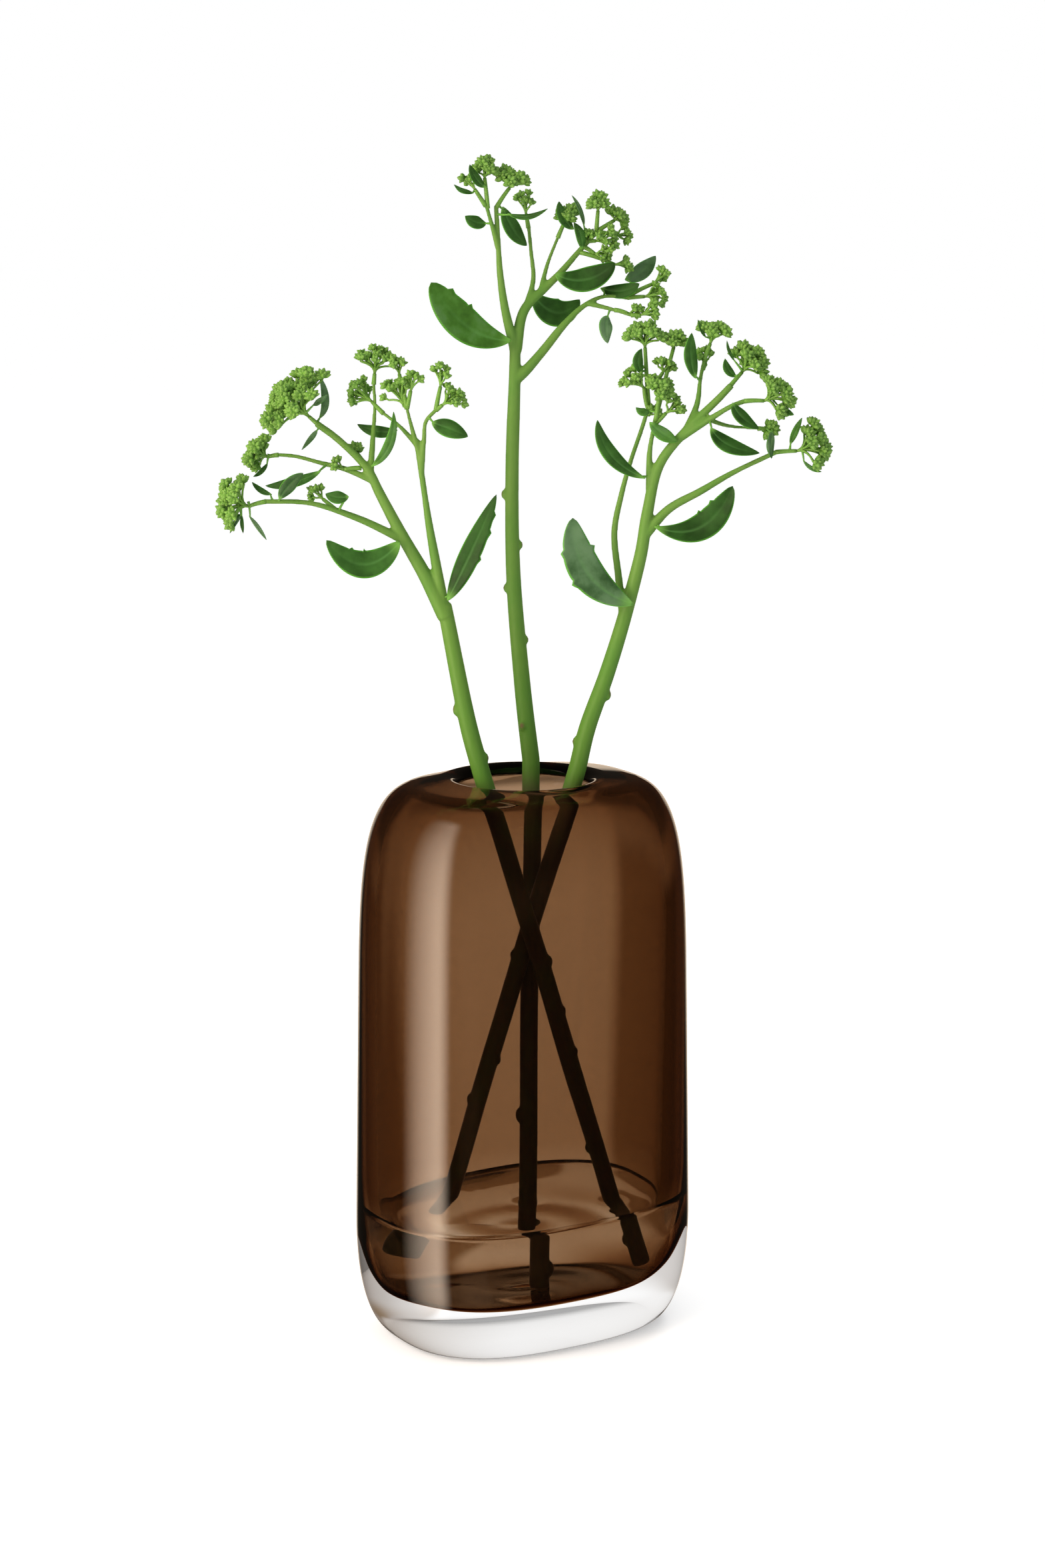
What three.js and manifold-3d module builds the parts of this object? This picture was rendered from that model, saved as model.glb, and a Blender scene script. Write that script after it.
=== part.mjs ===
// Cased glass bud vase: a thick clear glass block blown round an amber glass lining, part filled with
// water and holding three cut sprigs of stonecrop in bud. Millimetres, +Z up.
// The origin is the centre of the base. +X is to the right of the front view and +Y points away from it.
import * as THREE from 'three';
import { mergeVertices } from 'three/addons/utils/BufferGeometryUtils.js';
import Module from 'manifold-3d';

const wasm = await Module();
wasm.setup();
const { Manifold, Mesh: SolidMesh } = wasm;

// ---- driving dimensions ----
const VASE_HEIGHT = 240;
const HALF_LENGTH = 71.1; // long half axis of the plan
const HALF_WIDTH = 51.7; // short half axis of the plan
const SQUARENESS = 2.63; // 2 would be an ellipse, higher is squarer
const PLAN_TURN = 0.533; // long axis turned from +X, in radians
const TAPER = 0.056; // the section is this much smaller at the top than at the base
const BASE_ROUND = 53.1; // height over which the foot rounds in
const SHOULDER_ROUND = 104.8; // height over which the shoulder rounds in
const FOOT_SCALE = 0.749; // flat foot, as a share of the full section
const CLEAR_LOW = 10; // clear glass wall at the foot
const CLEAR_HIGH = 4; // clear glass wall at the shoulder
const AMBER_WALL = 2.3;
const CLEAR_BASE = 17.5; // solid clear glass under the amber lining
const TOP_CLEAR = 2.4; // clear glass over the lining, at the mouth
const CAVITY_TOP = 235.2;
const MOUTH_RADIUS = 27.4;
const GAP = 0.3; // between solids that touch
const WATER_LEVEL = 54.4;
const STEM_RADIUS = 3.8; // straight lower part of each sprig
const SEGMENTS = 40;

const V = (x, y, z) => new THREE.Vector3(x, y, z);
const vec = (p) => (p.isVector3 ? p.clone() : new THREE.Vector3(...p));

// ---- materials ----
const paint = (name, color, roughness, extra = {}) =>
  new THREE.MeshStandardMaterial({ name, color, roughness, metalness: 0, ...extra });
const clearGlass = () => paint('clear_glass', 0xf2f4f3, 0.03, { transparent: true, opacity: 0.35 });
const amberGlass = () => paint('amber_glass', 0x7a4a28, 0.03, { transparent: true, opacity: 0.7 });
const waterLook = () => paint('water', 0xdfe6e6, 0.02, { transparent: true, opacity: 0.3 });
const stemGreen = () => paint('stem', 0x7da555, 0.45);
const leafGreen = () => paint('leaf', 0x2f6a2a, 0.5);
const budGreen = () => paint('bud', 0x6fa23f, 0.55);

// ---- solids from rings of points ----
// Rings hold the same number of points, anticlockwise seen from the far end; both ends are closed.
// Every patch is split along the same diagonal going up or down, so nested skins stay parallel.
function ringSolid(rings) {
  const n = rings[0].length;
  const position = rings.flat().flatMap((p) => [p.x, p.y, p.z]);
  const index = [];
  for (let i = 0; i + 1 < rings.length; i++) {
    for (let j = 0; j < n; j++) {
      const k = (j + 1) % n;
      const [a, b, c, d] = [i * n + j, i * n + k, (i + 1) * n + k, (i + 1) * n + j];
      if (rings[i + 1][0].z < rings[i][0].z) index.push(a, b, d, b, c, d);
      else index.push(a, b, c, a, c, d);
    }
  }
  for (const [ring, start, turned] of [[rings[0], 0, true], [rings.at(-1), (rings.length - 1) * n, false]]) {
    const middle = ring.reduce((s, p) => s.add(p), V(0, 0, 0)).divideScalar(n);
    const hub = position.length / 3;
    position.push(middle.x, middle.y, middle.z);
    for (let j = 0; j < n; j++) {
      const k = (j + 1) % n;
      index.push(hub, start + (turned ? k : j), start + (turned ? j : k));
    }
  }
  const geometry = new THREE.BufferGeometry();
  geometry.setAttribute('position', new THREE.Float32BufferAttribute(position, 3));
  geometry.setIndex(index);
  return geometry;
}

function toSolid(geometry) {
  const g = geometry.clone();
  for (const name of ['normal', 'uv']) g.deleteAttribute(name);
  const m = mergeVertices(g, 1e-4);
  return new Manifold(new SolidMesh({
    numProp: 3,
    vertProperties: Float32Array.from(m.attributes.position.array),
    triVerts: Uint32Array.from(m.index.array),
  }));
}

function toGeometry(solid) {
  const mesh = solid.getMesh();
  const g = new THREE.BufferGeometry();
  g.setAttribute('position', new THREE.Float32BufferAttribute(mesh.vertProperties, 3));
  g.setIndex(Array.from(mesh.triVerts));
  return g;
}

const object = new THREE.Group();
function add(name, geometry, material) {
  geometry.computeVertexNormals();
  const mesh = new THREE.Mesh(geometry, material);
  mesh.name = name;
  object.add(mesh);
}

// ---- the vase ----
function planPoint(turn, inset) {
  const c = Math.cos(turn);
  const s = Math.sin(turn);
  const power = 2 / SQUARENESS;
  const x = (HALF_LENGTH - inset) * Math.sign(c) * Math.abs(c) ** power;
  const y = (HALF_WIDTH - inset) * Math.sign(s) * Math.abs(s) ** power;
  return V(x, y, 0).applyAxisAngle(V(0, 0, 1), PLAN_TURN);
}

function sectionRing(z, scale, inset) {
  const k = scale * (1 + TAPER * (0.5 - z / VASE_HEIGHT));
  return Array.from({ length: SEGMENTS }, (_, j) =>
    planPoint((2 * Math.PI * j) / SEGMENTS, inset).multiplyScalar(k).setZ(z));
}

function roundRing(z, radius) {
  return Array.from({ length: SEGMENTS }, (_, j) =>
    planPoint((2 * Math.PI * j) / SEGMENTS, 0).setLength(radius).setZ(z));
}

// One skin of the vase from its floor to its shoulder: foot curve, straight wall, shoulder curve.
function skin({ floor, top, foot, shoulder, footScale, insetLow, insetHigh, lower, upper }) {
  const stations = [];
  for (const deg of lower) {
    const a = THREE.MathUtils.degToRad(deg);
    const drop = deg >= 90 ? 0 : Math.cos(a) ** (2 / 2.28);
    stations.push([floor + foot * (1 - drop), footScale + (1 - footScale) * Math.sin(a) ** (2 / 2.27)]);
  }
  for (const deg of upper) {
    const a = THREE.MathUtils.degToRad(deg);
    const rise = Math.sin(a) ** (2 / 4.1);
    stations.push([top - shoulder * (1 - rise), 0.205 + 0.795 * Math.cos(a) ** (2 / 5.66)]);
  }
  return stations.map(([z, scale]) =>
    sectionRing(z, scale, insetLow + ((insetHigh - insetLow) * (z - floor)) / (top - floor)));
}

const LOWER = [0, 20, 42, 66, 90];
const UPPER = [0, 18, 34, 48, 60, 69];
const innerSkin = (floor, top, inset) => skin({
  floor, top, foot: 50, shoulder: 100, footScale: 0.6,
  insetLow: CLEAR_LOW + inset, insetHigh: CLEAR_HIGH + inset, lower: LOWER, upper: UPPER,
});
const outerSkin = skin({
  floor: 0, top: VASE_HEIGHT, foot: BASE_ROUND, shoulder: SHOULDER_ROUND, footScale: FOOT_SCALE,
  insetLow: 0, insetHigh: 0, lower: [0, 12, 28, 48, 68, 90], upper: [...UPPER, 75],
});

const caseHole = MOUTH_RADIUS + AMBER_WALL + GAP;
add('clear_glass_case', ringSolid([
  ...outerSkin,
  roundRing(239.9, 33.2),
  roundRing(239.6, 31.2),
  roundRing(238.6, caseHole),
  roundRing(VASE_HEIGHT - TOP_CLEAR + GAP, caseHole + 0.3),
  roundRing(VASE_HEIGHT - TOP_CLEAR + 0.2, 31.4),
  ...innerSkin(CLEAR_BASE - GAP, VASE_HEIGHT - TOP_CLEAR + 0.1, -GAP).reverse(),
]), clearGlass());

add('amber_glass_lining', ringSolid([
  ...innerSkin(CLEAR_BASE, VASE_HEIGHT - TOP_CLEAR - 0.25, 0),
  roundRing(VASE_HEIGHT - TOP_CLEAR - 0.15, 31.4),
  roundRing(VASE_HEIGHT - TOP_CLEAR + 0.3, MOUTH_RADIUS + AMBER_WALL - 0.1),
  roundRing(239.0, MOUTH_RADIUS + 1.7),
  roundRing(238.9, MOUTH_RADIUS + 0.9),
  roundRing(238.0, MOUTH_RADIUS + 0.2),
  roundRing(236.4, MOUTH_RADIUS),
  roundRing(CAVITY_TOP + 0.2, MOUTH_RADIUS + 0.5),
  roundRing(CAVITY_TOP, 30.8),
  ...innerSkin(CLEAR_BASE + AMBER_WALL, CAVITY_TOP - 0.1, AMBER_WALL).reverse(),
]), amberGlass());

// ---- the straight lower part of each sprig: it passes the mouth, crosses the others and stands on
// the floor of the lining. 'mouth' is its axis at the height of the rim, 'lean' the x and y it gains
// for each millimetre of height.
const sprigs = {
  left: { mouth: [-16.4, -12.7], lean: [-0.2839, -0.0634], foot: 28.2 },
  centre: { mouth: [3.3, 15.1], lean: [0.0134, 0.094], foot: 20.8 },
  right: { mouth: [21.5, -3], lean: [0.2925, -0.043], foot: 30.2 },
};
const onAxis = ({ mouth, lean }, z) =>
  V(mouth[0] + lean[0] * (z - VASE_HEIGHT), mouth[1] + lean[1] * (z - VASE_HEIGHT), z);

// ---- a tapering tube along a smooth path, closed at both ends ----
function tube(points, radii, sides, steps, straight = 0) {
  const all = points.map(vec);
  const radiusAt = (t) => {
    const f = Math.min(t * (radii.length - 1), radii.length - 1 - 1e-9);
    const i = Math.floor(f);
    return radii[i] + (radii[i + 1] - radii[i]) * (f - i);
  };
  const curve = new THREE.CatmullRomCurve3(all.slice(straight), false, 'centripetal');
  const path = all.slice(0, straight).map((p) => [p, radii[0]]);
  for (let i = 0; i <= steps; i++) path.push([curve.getPointAt(i / steps), radiusAt(i / steps)]);
  let side = null;
  const rings = path.map(([p, r], i) => {
    const before = path[Math.max(i - 1, 0)][0];
    const after = path[Math.min(i + 1, path.length - 1)][0];
    const along = (i < straight ? path[1][0].clone().sub(path[0][0]) : after.clone().sub(before)).normalize();
    side = side ?? (Math.abs(along.y) < 0.9 ? V(0, 1, 0) : V(1, 0, 0));
    side = side.clone().addScaledVector(along, -side.dot(along)).normalize();
    const up = along.clone().cross(side);
    return Array.from({ length: sides }, (_, j) => {
      const a = (2 * Math.PI * j) / sides;
      return p.clone().addScaledVector(side, r * Math.cos(a)).addScaledVector(up, r * Math.sin(a));
    });
  });
  return ringSolid(rings);
}

// ---- water, with a straight hole for each sprig ----
{
  const bowl = innerSkin(CLEAR_BASE + AMBER_WALL + GAP, CAVITY_TOP - 0.1, AMBER_WALL + GAP);
  const above = new THREE.BoxGeometry(200, 200, 300).translate(0, 0, WATER_LEVEL + 150);
  let water = toSolid(ringSolid(bowl)).subtract(toSolid(above));
  for (const sprig of Object.values(sprigs)) {
    const hole = [onAxis(sprig, 10), onAxis(sprig, 70)];
    water = water.subtract(toSolid(tube(hole, [STEM_RADIUS + GAP, STEM_RADIUS + GAP], 16, 1)));
  }
  add('water', toGeometry(water), waterLook());
}

// ---- leaves: fleshy, lens-shaped in section, curved from base to tip through 'middle' ----
function leaf({ base, middle, tip, width, face, thick = 1.5, cup = 0.12 }) {
  const [b, m, t] = [vec(base), vec(middle), vec(tip)];
  const curve = new THREE.QuadraticBezierCurve3(b, m.multiplyScalar(2).addScaledVector(b, -0.5).addScaledVector(t, -0.5), t);
  const out = vec(face).normalize();
  const section = [[-1, 0], [-0.45, 0.5], [0.45, 0.5], [1, 0], [0.45, -0.5], [-0.45, -0.5]];
  const rings = [0, 0.1, 0.28, 0.5, 0.72, 0.9, 1].map((u) => {
    const along = curve.getTangentAt(u);
    const across = along.clone().cross(out).normalize();
    const normal = across.clone().cross(along).normalize();
    const half = Math.max(0.09, Math.sin(Math.PI * u ** 0.8) ** 0.75) * (width / 2);
    const depth = thick * Math.max(0.3, Math.sin(Math.PI * u) ** 0.4);
    return section.map(([x, y]) => curve.getPointAt(u)
      .addScaledVector(across, x * half)
      .addScaledVector(normal, y * depth + cup * half * x * x));
  });
  return ringSolid(rings);
}

// ---- bud heads: a domed cluster on a funnel of short stalks, lumpy round its rim ----
function head({ centre, axis, radius, height }) {
  const outline = [[0, 0], [0.3, 0.12], [0.78, 0.42], [1, 0.66], [0.86, 0.88], [0.45, 1.02], [0, 1.06]];
  const profile = outline.map(([r, h]) => new THREE.Vector2(r * radius, (h - 0.6) * height));
  const g = new THREE.LatheGeometry(profile, 9);
  const p = g.attributes.position;
  for (let i = 0; i < p.count; i++) {
    const turn = Math.atan2(p.getZ(i), p.getX(i));
    const k = 1 + 0.07 * Math.cos(5 * turn);
    p.setX(i, p.getX(i) * k);
    p.setZ(i, p.getZ(i) * k);
  }
  g.applyQuaternion(new THREE.Quaternion().setFromUnitVectors(V(0, 1, 0), vec(axis).normalize()));
  g.translate(...centre);
  return toGeometry(toSolid(g));
}

// The stalk that carries a head leaves its branch at 'from' and ends just under the head's funnel.
function stalk({ from, centre, axis, height }) {
  const along = vec(axis).normalize();
  const end = vec(centre).addScaledVector(along, -0.6 * height - 0.7);
  const start = vec(from);
  const reach = end.distanceTo(start);
  return tube([start, end.clone().addScaledVector(along, -0.35 * reach), end], [0.95, 0.7], 5, 3);
}

function sprig(side, { trunk, radii, branches, leaves, heads }) {
  const s = sprigs[side];
  const foot = onAxis(s, s.foot);
  const rim = onAxis(s, VASE_HEIGHT + 4);
  let wood = toSolid(tube([foot, rim, ...trunk], radii, 10, 8, 1));
  for (const [points, thickness] of branches) {
    wood = wood.add(toSolid(tube(points, thickness, 6, Math.max(3, points.length))));
  }
  for (const h of Object.values(heads)) wood = wood.add(toSolid(stalk(h)));
  add(`${side}_sprig_stem`, toGeometry(wood), stemGreen());
  for (const [name, l] of Object.entries(leaves)) add(`${side}_leaf_${name}`, leaf(l), leafGreen());
  for (const [name, h] of Object.entries(heads)) add(`${side}_buds_${name}`, head(h), budGreen());
}

// ---- the sprig whose buds fall to the left; it stands in front ----
sprig('left', {
  trunk: [[-22.3, -14, 262], [-28, -15.5, 289], [-33, -17, 315]],
  radii: [3.8, 3.7, 3.5, 3.3, 3.1],
  branches: [
    [[[-32, -16.8, 310], [-40.4, -18, 327], [-49.8, -20, 344], [-59, -22, 362], [-63.4, -22, 371],
      [-75.4, -24, 383.5], [-84, -25, 390]], [2.9, 2.5, 2.1, 1.5]],
    [[[-60.5, -22, 366], [-72, -22, 371], [-83, -20, 373.6], [-93, -18, 376], [-101, -17.2, 376.6]], [1.2, 0.9]],
    [[[-48.5, -19.8, 341.5], [-58.4, -23, 347], [-67.7, -26, 351.6], [-86.3, -32, 358.3],
      [-105, -36, 359.5]], [1.5, 1.1]],
    [[[-32.5, -16.8, 312], [-36, -19, 332.5], [-38.6, -21, 348.4], [-41, -23, 366], [-43.4, -25, 383.5]], [2, 1.3]],
    [[[-43, -24.8, 381], [-51, -22, 389.2], [-57.5, -19.5, 394]], [1, 0.8]],
    [[[-43.4, -25, 381], [-45.8, -26, 390.4], [-47.4, -25.6, 397]], [1, 0.8]],
    [[[-41.6, -23.4, 370], [-40.3, -26, 384], [-39.5, -27.4, 391], [-35, -28, 396]], [1.1, 0.9]],
    [[[-62.4, -22, 369], [-61.4, -19.4, 383], [-60.6, -17, 396], [-61, -16, 406]], [1.2, 0.8]],
  ],
  leaves: {
    lower_hanging: { base: [-51.5, -25, 341.5], middle: [-66, -27.5, 334.5], tip: [-80.1, -30, 343.4],
      width: 14, face: [0.1, -1, 0.35] },
    fork_upright: { base: [-31.2, -21.6, 317.2], middle: [-21.5, -26, 337], tip: [-11, -28, 361.4],
      width: 9, face: [-0.25, -1, 0.15] },
    inner_flat: { base: [-51.5, -15.5, 386.5], middle: [-59.5, -14, 385.6], tip: [-68, -12, 388.6],
      width: 5, face: [0, -1, 0.3] },
    inner_curved: { base: [-60.5, -26.5, 373.8], middle: [-53.6, -30, 382], tip: [-51.9, -31.5, 395.2],
      width: 5, face: [0.3, -1, 0.2] },
    inner_right: { base: [-37, -31, 390.8], middle: [-30, -32.5, 388.4], tip: [-22.4, -34, 385.4],
      width: 7.4, face: [0, -1, 0.3] },
    low_branch_pale: { base: [-98.5, -37.6, 360.5], middle: [-94.4, -38.6, 366.3], tip: [-88.6, -40, 371.2],
      width: 5.6, face: [0.2, -1, 0.1] },
    low_branch_long: { base: [-82.2, -28, 371], middle: [-93.5, -27.4, 366.2], tip: [-104.9, -26, 364.8],
      width: 4.4, face: [0, -1, 0.3] },
    low_branch_oval: { base: [-70.8, -32.4, 361.1], middle: [-75.5, -32, 360.6], tip: [-80.2, -31, 362],
      width: 5.4, face: [0, -1, 0.3] },
  },
  heads: {
    main_dome: { from: [-82.5, -24.8, 388.8], centre: [-94, -26, 399.5], axis: [-0.72, -0.1, 0.69], radius: 18.5, height: 15 },
    mid_left: { from: [-100, -17.4, 376.5], centre: [-110, -17, 377.5], axis: [-0.93, 0, 0.3], radius: 7.4, height: 9 },
    low_left: { from: [-104, -35.9, 359.4], centre: [-118.5, -37, 359.5], axis: [-0.93, -0.1, 0.25], radius: 12, height: 12 },
    bract_small: { from: [-63.4, -21.6, 371], centre: [-69.2, -16.5, 380.6], axis: [-0.3, 0.25, 0.9], radius: 3.2, height: 5 },
    low_small: { from: [-76.2, -28.8, 355.2], centre: [-85.4, -26, 363.4], axis: [-0.6, 0.2, 0.6], radius: 3.7, height: 6 },
    twin_left: { from: [-57, -19.7, 393.6], centre: [-67.6, -13.6, 402], axis: [-0.75, 0.35, 0.5], radius: 6.2, height: 8 },
    twin_top: { from: [-61, -16, 405], centre: [-60, -15.5, 417], axis: [0.08, 0, 1], radius: 7.6, height: 8 },
    twin_middle: { from: [-47.2, -25.6, 396], centre: [-51.4, -23, 404.5], axis: [-0.35, 0.1, 0.9], radius: 6, height: 8.5 },
    twin_right: { from: [-35.4, -28, 395.5], centre: [-33.2, -27.5, 411.6], axis: [0.05, 0, 1], radius: 4.2, height: 7 },
    far_right: { from: [-35.4, -28, 395.5], centre: [-27.4, -28.6, 401.6], axis: [0.75, 0, 0.55], radius: 5.6, height: 7 },
  },
});

// ---- the upright sprig; it stands at the back ----
sprig('centre', {
  trunk: [[-0.4, 18, 277], [-4.2, 21, 320], [-4.9, 24, 368], [-3.6, 27, 409], [-3.4, 27.6, 420]],
  radii: [3.8, 3.5, 3.2, 2.9, 2.8, 2.3],
  branches: [
    [[[-3.5, 26.6, 404], [0.6, 26.6, 407.5], [8, 27.5, 415.8], [17.2, 29, 427], [25.3, 31, 434.5],
      [33.4, 32, 438.3], [45, 34, 437.6]], [2, 1.8, 1.3, 0.9]],
    [[[27, 31.2, 435.6], [38.1, 29, 432.9], [46.2, 27, 430.4]], [1, 0.8]],
    [[[-3.4, 27.4, 416], [-7.6, 25, 433], [-9.8, 23, 449], [-10.6, 22, 463], [-11.4, 22, 476.5]], [1.9, 1.5, 1.1]],
    [[[-10.5, 22, 459], [-13, 20, 468], [-15.6, 18, 477]], [1.1, 0.9]],
    [[[-3.4, 27.4, 416], [0.4, 30, 432.9], [9.1, 33, 441.9], [15, 34, 447.6], [23.1, 36, 456.7],
      [31.2, 38, 465.7]], [2.2, 1.9, 1.5, 1.2]],
    [[[7, 32.4, 440], [10.2, 35.4, 452], [14.6, 38, 463]], [1, 0.8]],
    [[[1, 30.2, 434], [4.1, 33, 445.2], [3.2, 36, 456.7], [2.1, 38, 467.9]], [1.1, 0.9]],
  ],
  leaves: {
    big_left: { base: [-6.5, 21.5, 421.2], middle: [-22.5, 18.6, 426.6], tip: [-39.6, 14, 444.9],
      width: 14, face: [0.15, -1, 0.3] },
    big_right: { base: [13.4, 29.6, 447.6], middle: [25.6, 28.6, 445.2], tip: [38, 26.6, 452.8],
      width: 11, face: [0, -1, 0.35] },
    behind_fork: { base: [3.6, 40.4, 439.3], middle: [14, 42.4, 431], tip: [23.8, 44, 436.6],
      width: 12, face: [0, -1, 0.2] },
    grey_right: { base: [42.8, 41, 444.9], middle: [50, 43, 448.5], tip: [55.8, 44.6, 454.8],
      width: 7, face: [0.2, -1, 0.2] },
    hanging: { base: [35.4, 26.6, 430.6], middle: [34.2, 25, 426], tip: [35.3, 23.4, 419.4],
      width: 6, face: [0.3, -1, 0] },
    paddle_left: { base: [-15.4, 21.8, 469], middle: [-20, 20, 469.3], tip: [-24.1, 17.6, 472],
      width: 5.6, face: [0, -1, 0.3] },
    behind_top: { base: [-8.6, 29.4, 475.5], middle: [-4.6, 31, 466.4], tip: [1.4, 32, 459.4],
      width: 7, face: [0.2, -1, 0.1] },
    bract_top: { base: [-6.6, 17.6, 473], middle: [1.4, 15.6, 471.6], tip: [10, 13.6, 475],
      width: 2.6, face: [0, -1, 0.4] },
  },
  heads: {
    top_left: { from: [-14.8, 18.4, 475], centre: [-16, 16.6, 492.6], axis: [0, 0, 1], radius: 5, height: 8 },
    top: { from: [-11.4, 22, 475], centre: [-4.4, 22.6, 488.4], axis: [0.25, 0, 0.95], radius: 6.8, height: 8 },
    twig_top: { from: [2.1, 38, 466.5], centre: [0.4, 38.4, 479], axis: [-0.1, 0, 1], radius: 4.2, height: 7 },
    mid: { from: [14.4, 38, 462.4], centre: [18.4, 38.4, 473.4], axis: [0.25, 0, 1], radius: 4.8, height: 7 },
    right_top: { from: [30.6, 37.8, 465], centre: [31.2, 35.4, 478.6], axis: [0, -0.1, 1], radius: 4.8, height: 7.5 },
    right_tip: { from: [30.6, 37.8, 465], centre: [41.6, 41, 472.4], axis: [0.75, 0.2, 0.6], radius: 4.6, height: 7 },
    right_low: { from: [27, 37, 461.2], centre: [36.6, 33.6, 462], axis: [0.8, -0.45, 0.1], radius: 5.4, height: 7.5 },
    far_high: { from: [43, 33.7, 437.8], centre: [58.8, 37, 448], axis: [0.6, 0.1, 0.7], radius: 3.7, height: 6 },
    far_mid: { from: [43.6, 33.8, 437.8], centre: [57, 33.8, 439.2], axis: [0.97, 0, 0.15], radius: 4.8, height: 6.5 },
    far_low: { from: [45, 27.3, 430.8], centre: [55, 26.6, 432.6], axis: [0.95, 0, 0.25], radius: 4.2, height: 6.5 },
  },
});

// ---- the sprig whose buds fall to the right ----
sprig('right', {
  trunk: [[26.6, -4, 261], [34.6, -5.5, 284.4], [43, -8, 312], [48.8, -10.5, 335.6], [51, -12.4, 352],
    [55.8, -14, 372.2], [66.5, -16, 386.3], [79.3, -18, 399.2], [84.7, -18, 405]],
  radii: [3.8, 3.5, 3.2, 2.9, 2.6, 2.2, 1.8, 1.4],
  branches: [
    [[[41.6, -7.6, 307], [39.4, -7, 325], [37.6, -6, 343.6], [40.3, -5, 358.4], [44.1, -5, 372.5],
      [48.7, -5, 386.2], [51.6, -6, 396]], [1.5, 1.3, 1]],
    [[[51.8, -13, 362], [51.7, -14, 377.8], [54, -15, 391]], [1.4, 1]],
    [[[49.6, -11.6, 342.5], [59.6, -13, 353.8], [72.6, -14, 361.3], [85.3, -15, 368.8], [104, -16.8, 378]], [1.8, 1.5, 1.1]],
    [[[64, -15.6, 383.5], [75.6, -19, 391.1], [84.6, -22, 396.8], [90, -23.4, 399]], [1.5, 1.1]],
    [[[75.6, -18.8, 391], [83, -15, 388.3], [96.6, -10.4, 386.6]], [0.9, 0.7]],
    [[[66, -16, 385.6], [70.8, -15, 397], [72.2, -13, 407.2], [74, -12, 416]], [1.3, 0.9]],
  ],
  leaves: {
    big_lower: { base: [44.6, -14.4, 315.6], middle: [28.6, -17.6, 329.5], tip: [20.3, -20, 351.3],
      width: 12, face: [0.2, -1, 0.2] },
    upright_left: { base: [48.6, -18, 366.6], middle: [37.6, -18.6, 376.4], tip: [30.2, -20, 391],
      width: 7.6, face: [0.2, -1, 0.2] },
    big_right: { base: [54.6, -17.6, 347], middle: [69.4, -19, 347.6], tip: [85, -21, 364.6],
      width: 9.4, face: [-0.1, -1, 0.3] },
    mid_right: { base: [76, -22.6, 386.6], middle: [84.6, -23.4, 381.6], tip: [96, -25, 378.6],
      width: 8, face: [0, -1, 0.3] },
    short_right: { base: [84.6, -26, 398.4], middle: [88.4, -28, 392.6], tip: [95.2, -30, 388.3],
      width: 5.4, face: [0, -1, 0.3] },
    upright_mid: { base: [70, -17.4, 407.6], middle: [67.8, -17.6, 416.6], tip: [68.2, -18.4, 426],
      width: 5.6, face: [0.2, -1, 0] },
    hanging: { base: [101.4, -17.5, 386.6], middle: [100.6, -19.5, 381], tip: [101, -21.5, 375.4],
      width: 3.4, face: [0.2, -1, 0] },
  },
  heads: {
    big_right: { from: [103, -16.7, 377.6], centre: [119.4, -17, 380.4], axis: [0.95, 0, 0.28], radius: 12, height: 12.5 },
    upper: { from: [73.8, -12.1, 415], centre: [77.6, -12, 427], axis: [0.25, 0, 0.95], radius: 5.4, height: 9 },
    dome_high: { from: [83.6, -18, 404], centre: [93, -13.4, 415.8], axis: [0.55, 0.15, 0.82], radius: 9, height: 11 },
    dome_low: { from: [89.4, -23.2, 398.8], centre: [104, -23.6, 402], axis: [0.85, -0.05, 0.4], radius: 9.6, height: 11 },
    twig_small: { from: [96, -10.6, 386.7], centre: [103, -9.4, 386.8], axis: [1, 0, 0.1], radius: 3.4, height: 5 },
    left_top: { from: [51.4, -6, 395], centre: [49, -9.6, 426], axis: [-0.1, 0, 1], radius: 6.8, height: 10 },
    left_high: { from: [53.6, -14.9, 389], centre: [62, -9, 424], axis: [0.15, 0.1, 1], radius: 4, height: 6.5 },
    left_mid: { from: [51.4, -6, 394], centre: [44.6, -10, 407.6], axis: [-0.7, -0.2, 0.65], radius: 4.8, height: 7 },
    left_front: { from: [54, -15, 390], centre: [55.6, -18.6, 405], axis: [0.1, -0.25, 0.95], radius: 5.4, height: 8 },
    left_low: { from: [53.8, -14.9, 389], centre: [63, -15, 396.4], axis: [0.8, 0, 0.5], radius: 4, height: 6 },
  },
});

export default object;
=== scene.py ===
import math
import random

import bpy
import numpy as np
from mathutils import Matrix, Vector


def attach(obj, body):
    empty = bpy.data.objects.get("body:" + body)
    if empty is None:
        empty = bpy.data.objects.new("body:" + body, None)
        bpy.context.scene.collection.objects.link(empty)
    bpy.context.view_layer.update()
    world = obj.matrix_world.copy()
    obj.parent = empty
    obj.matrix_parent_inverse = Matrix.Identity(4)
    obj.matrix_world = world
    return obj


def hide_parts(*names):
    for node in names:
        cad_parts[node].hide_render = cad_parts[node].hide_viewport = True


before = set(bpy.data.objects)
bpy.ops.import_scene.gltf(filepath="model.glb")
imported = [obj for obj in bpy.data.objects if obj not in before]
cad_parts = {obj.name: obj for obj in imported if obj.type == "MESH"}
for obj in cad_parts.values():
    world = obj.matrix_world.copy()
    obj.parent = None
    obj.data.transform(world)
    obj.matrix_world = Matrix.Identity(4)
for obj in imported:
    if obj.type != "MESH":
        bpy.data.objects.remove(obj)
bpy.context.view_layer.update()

MM = 0.001
UP = Vector((0, 0, 1))

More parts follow.
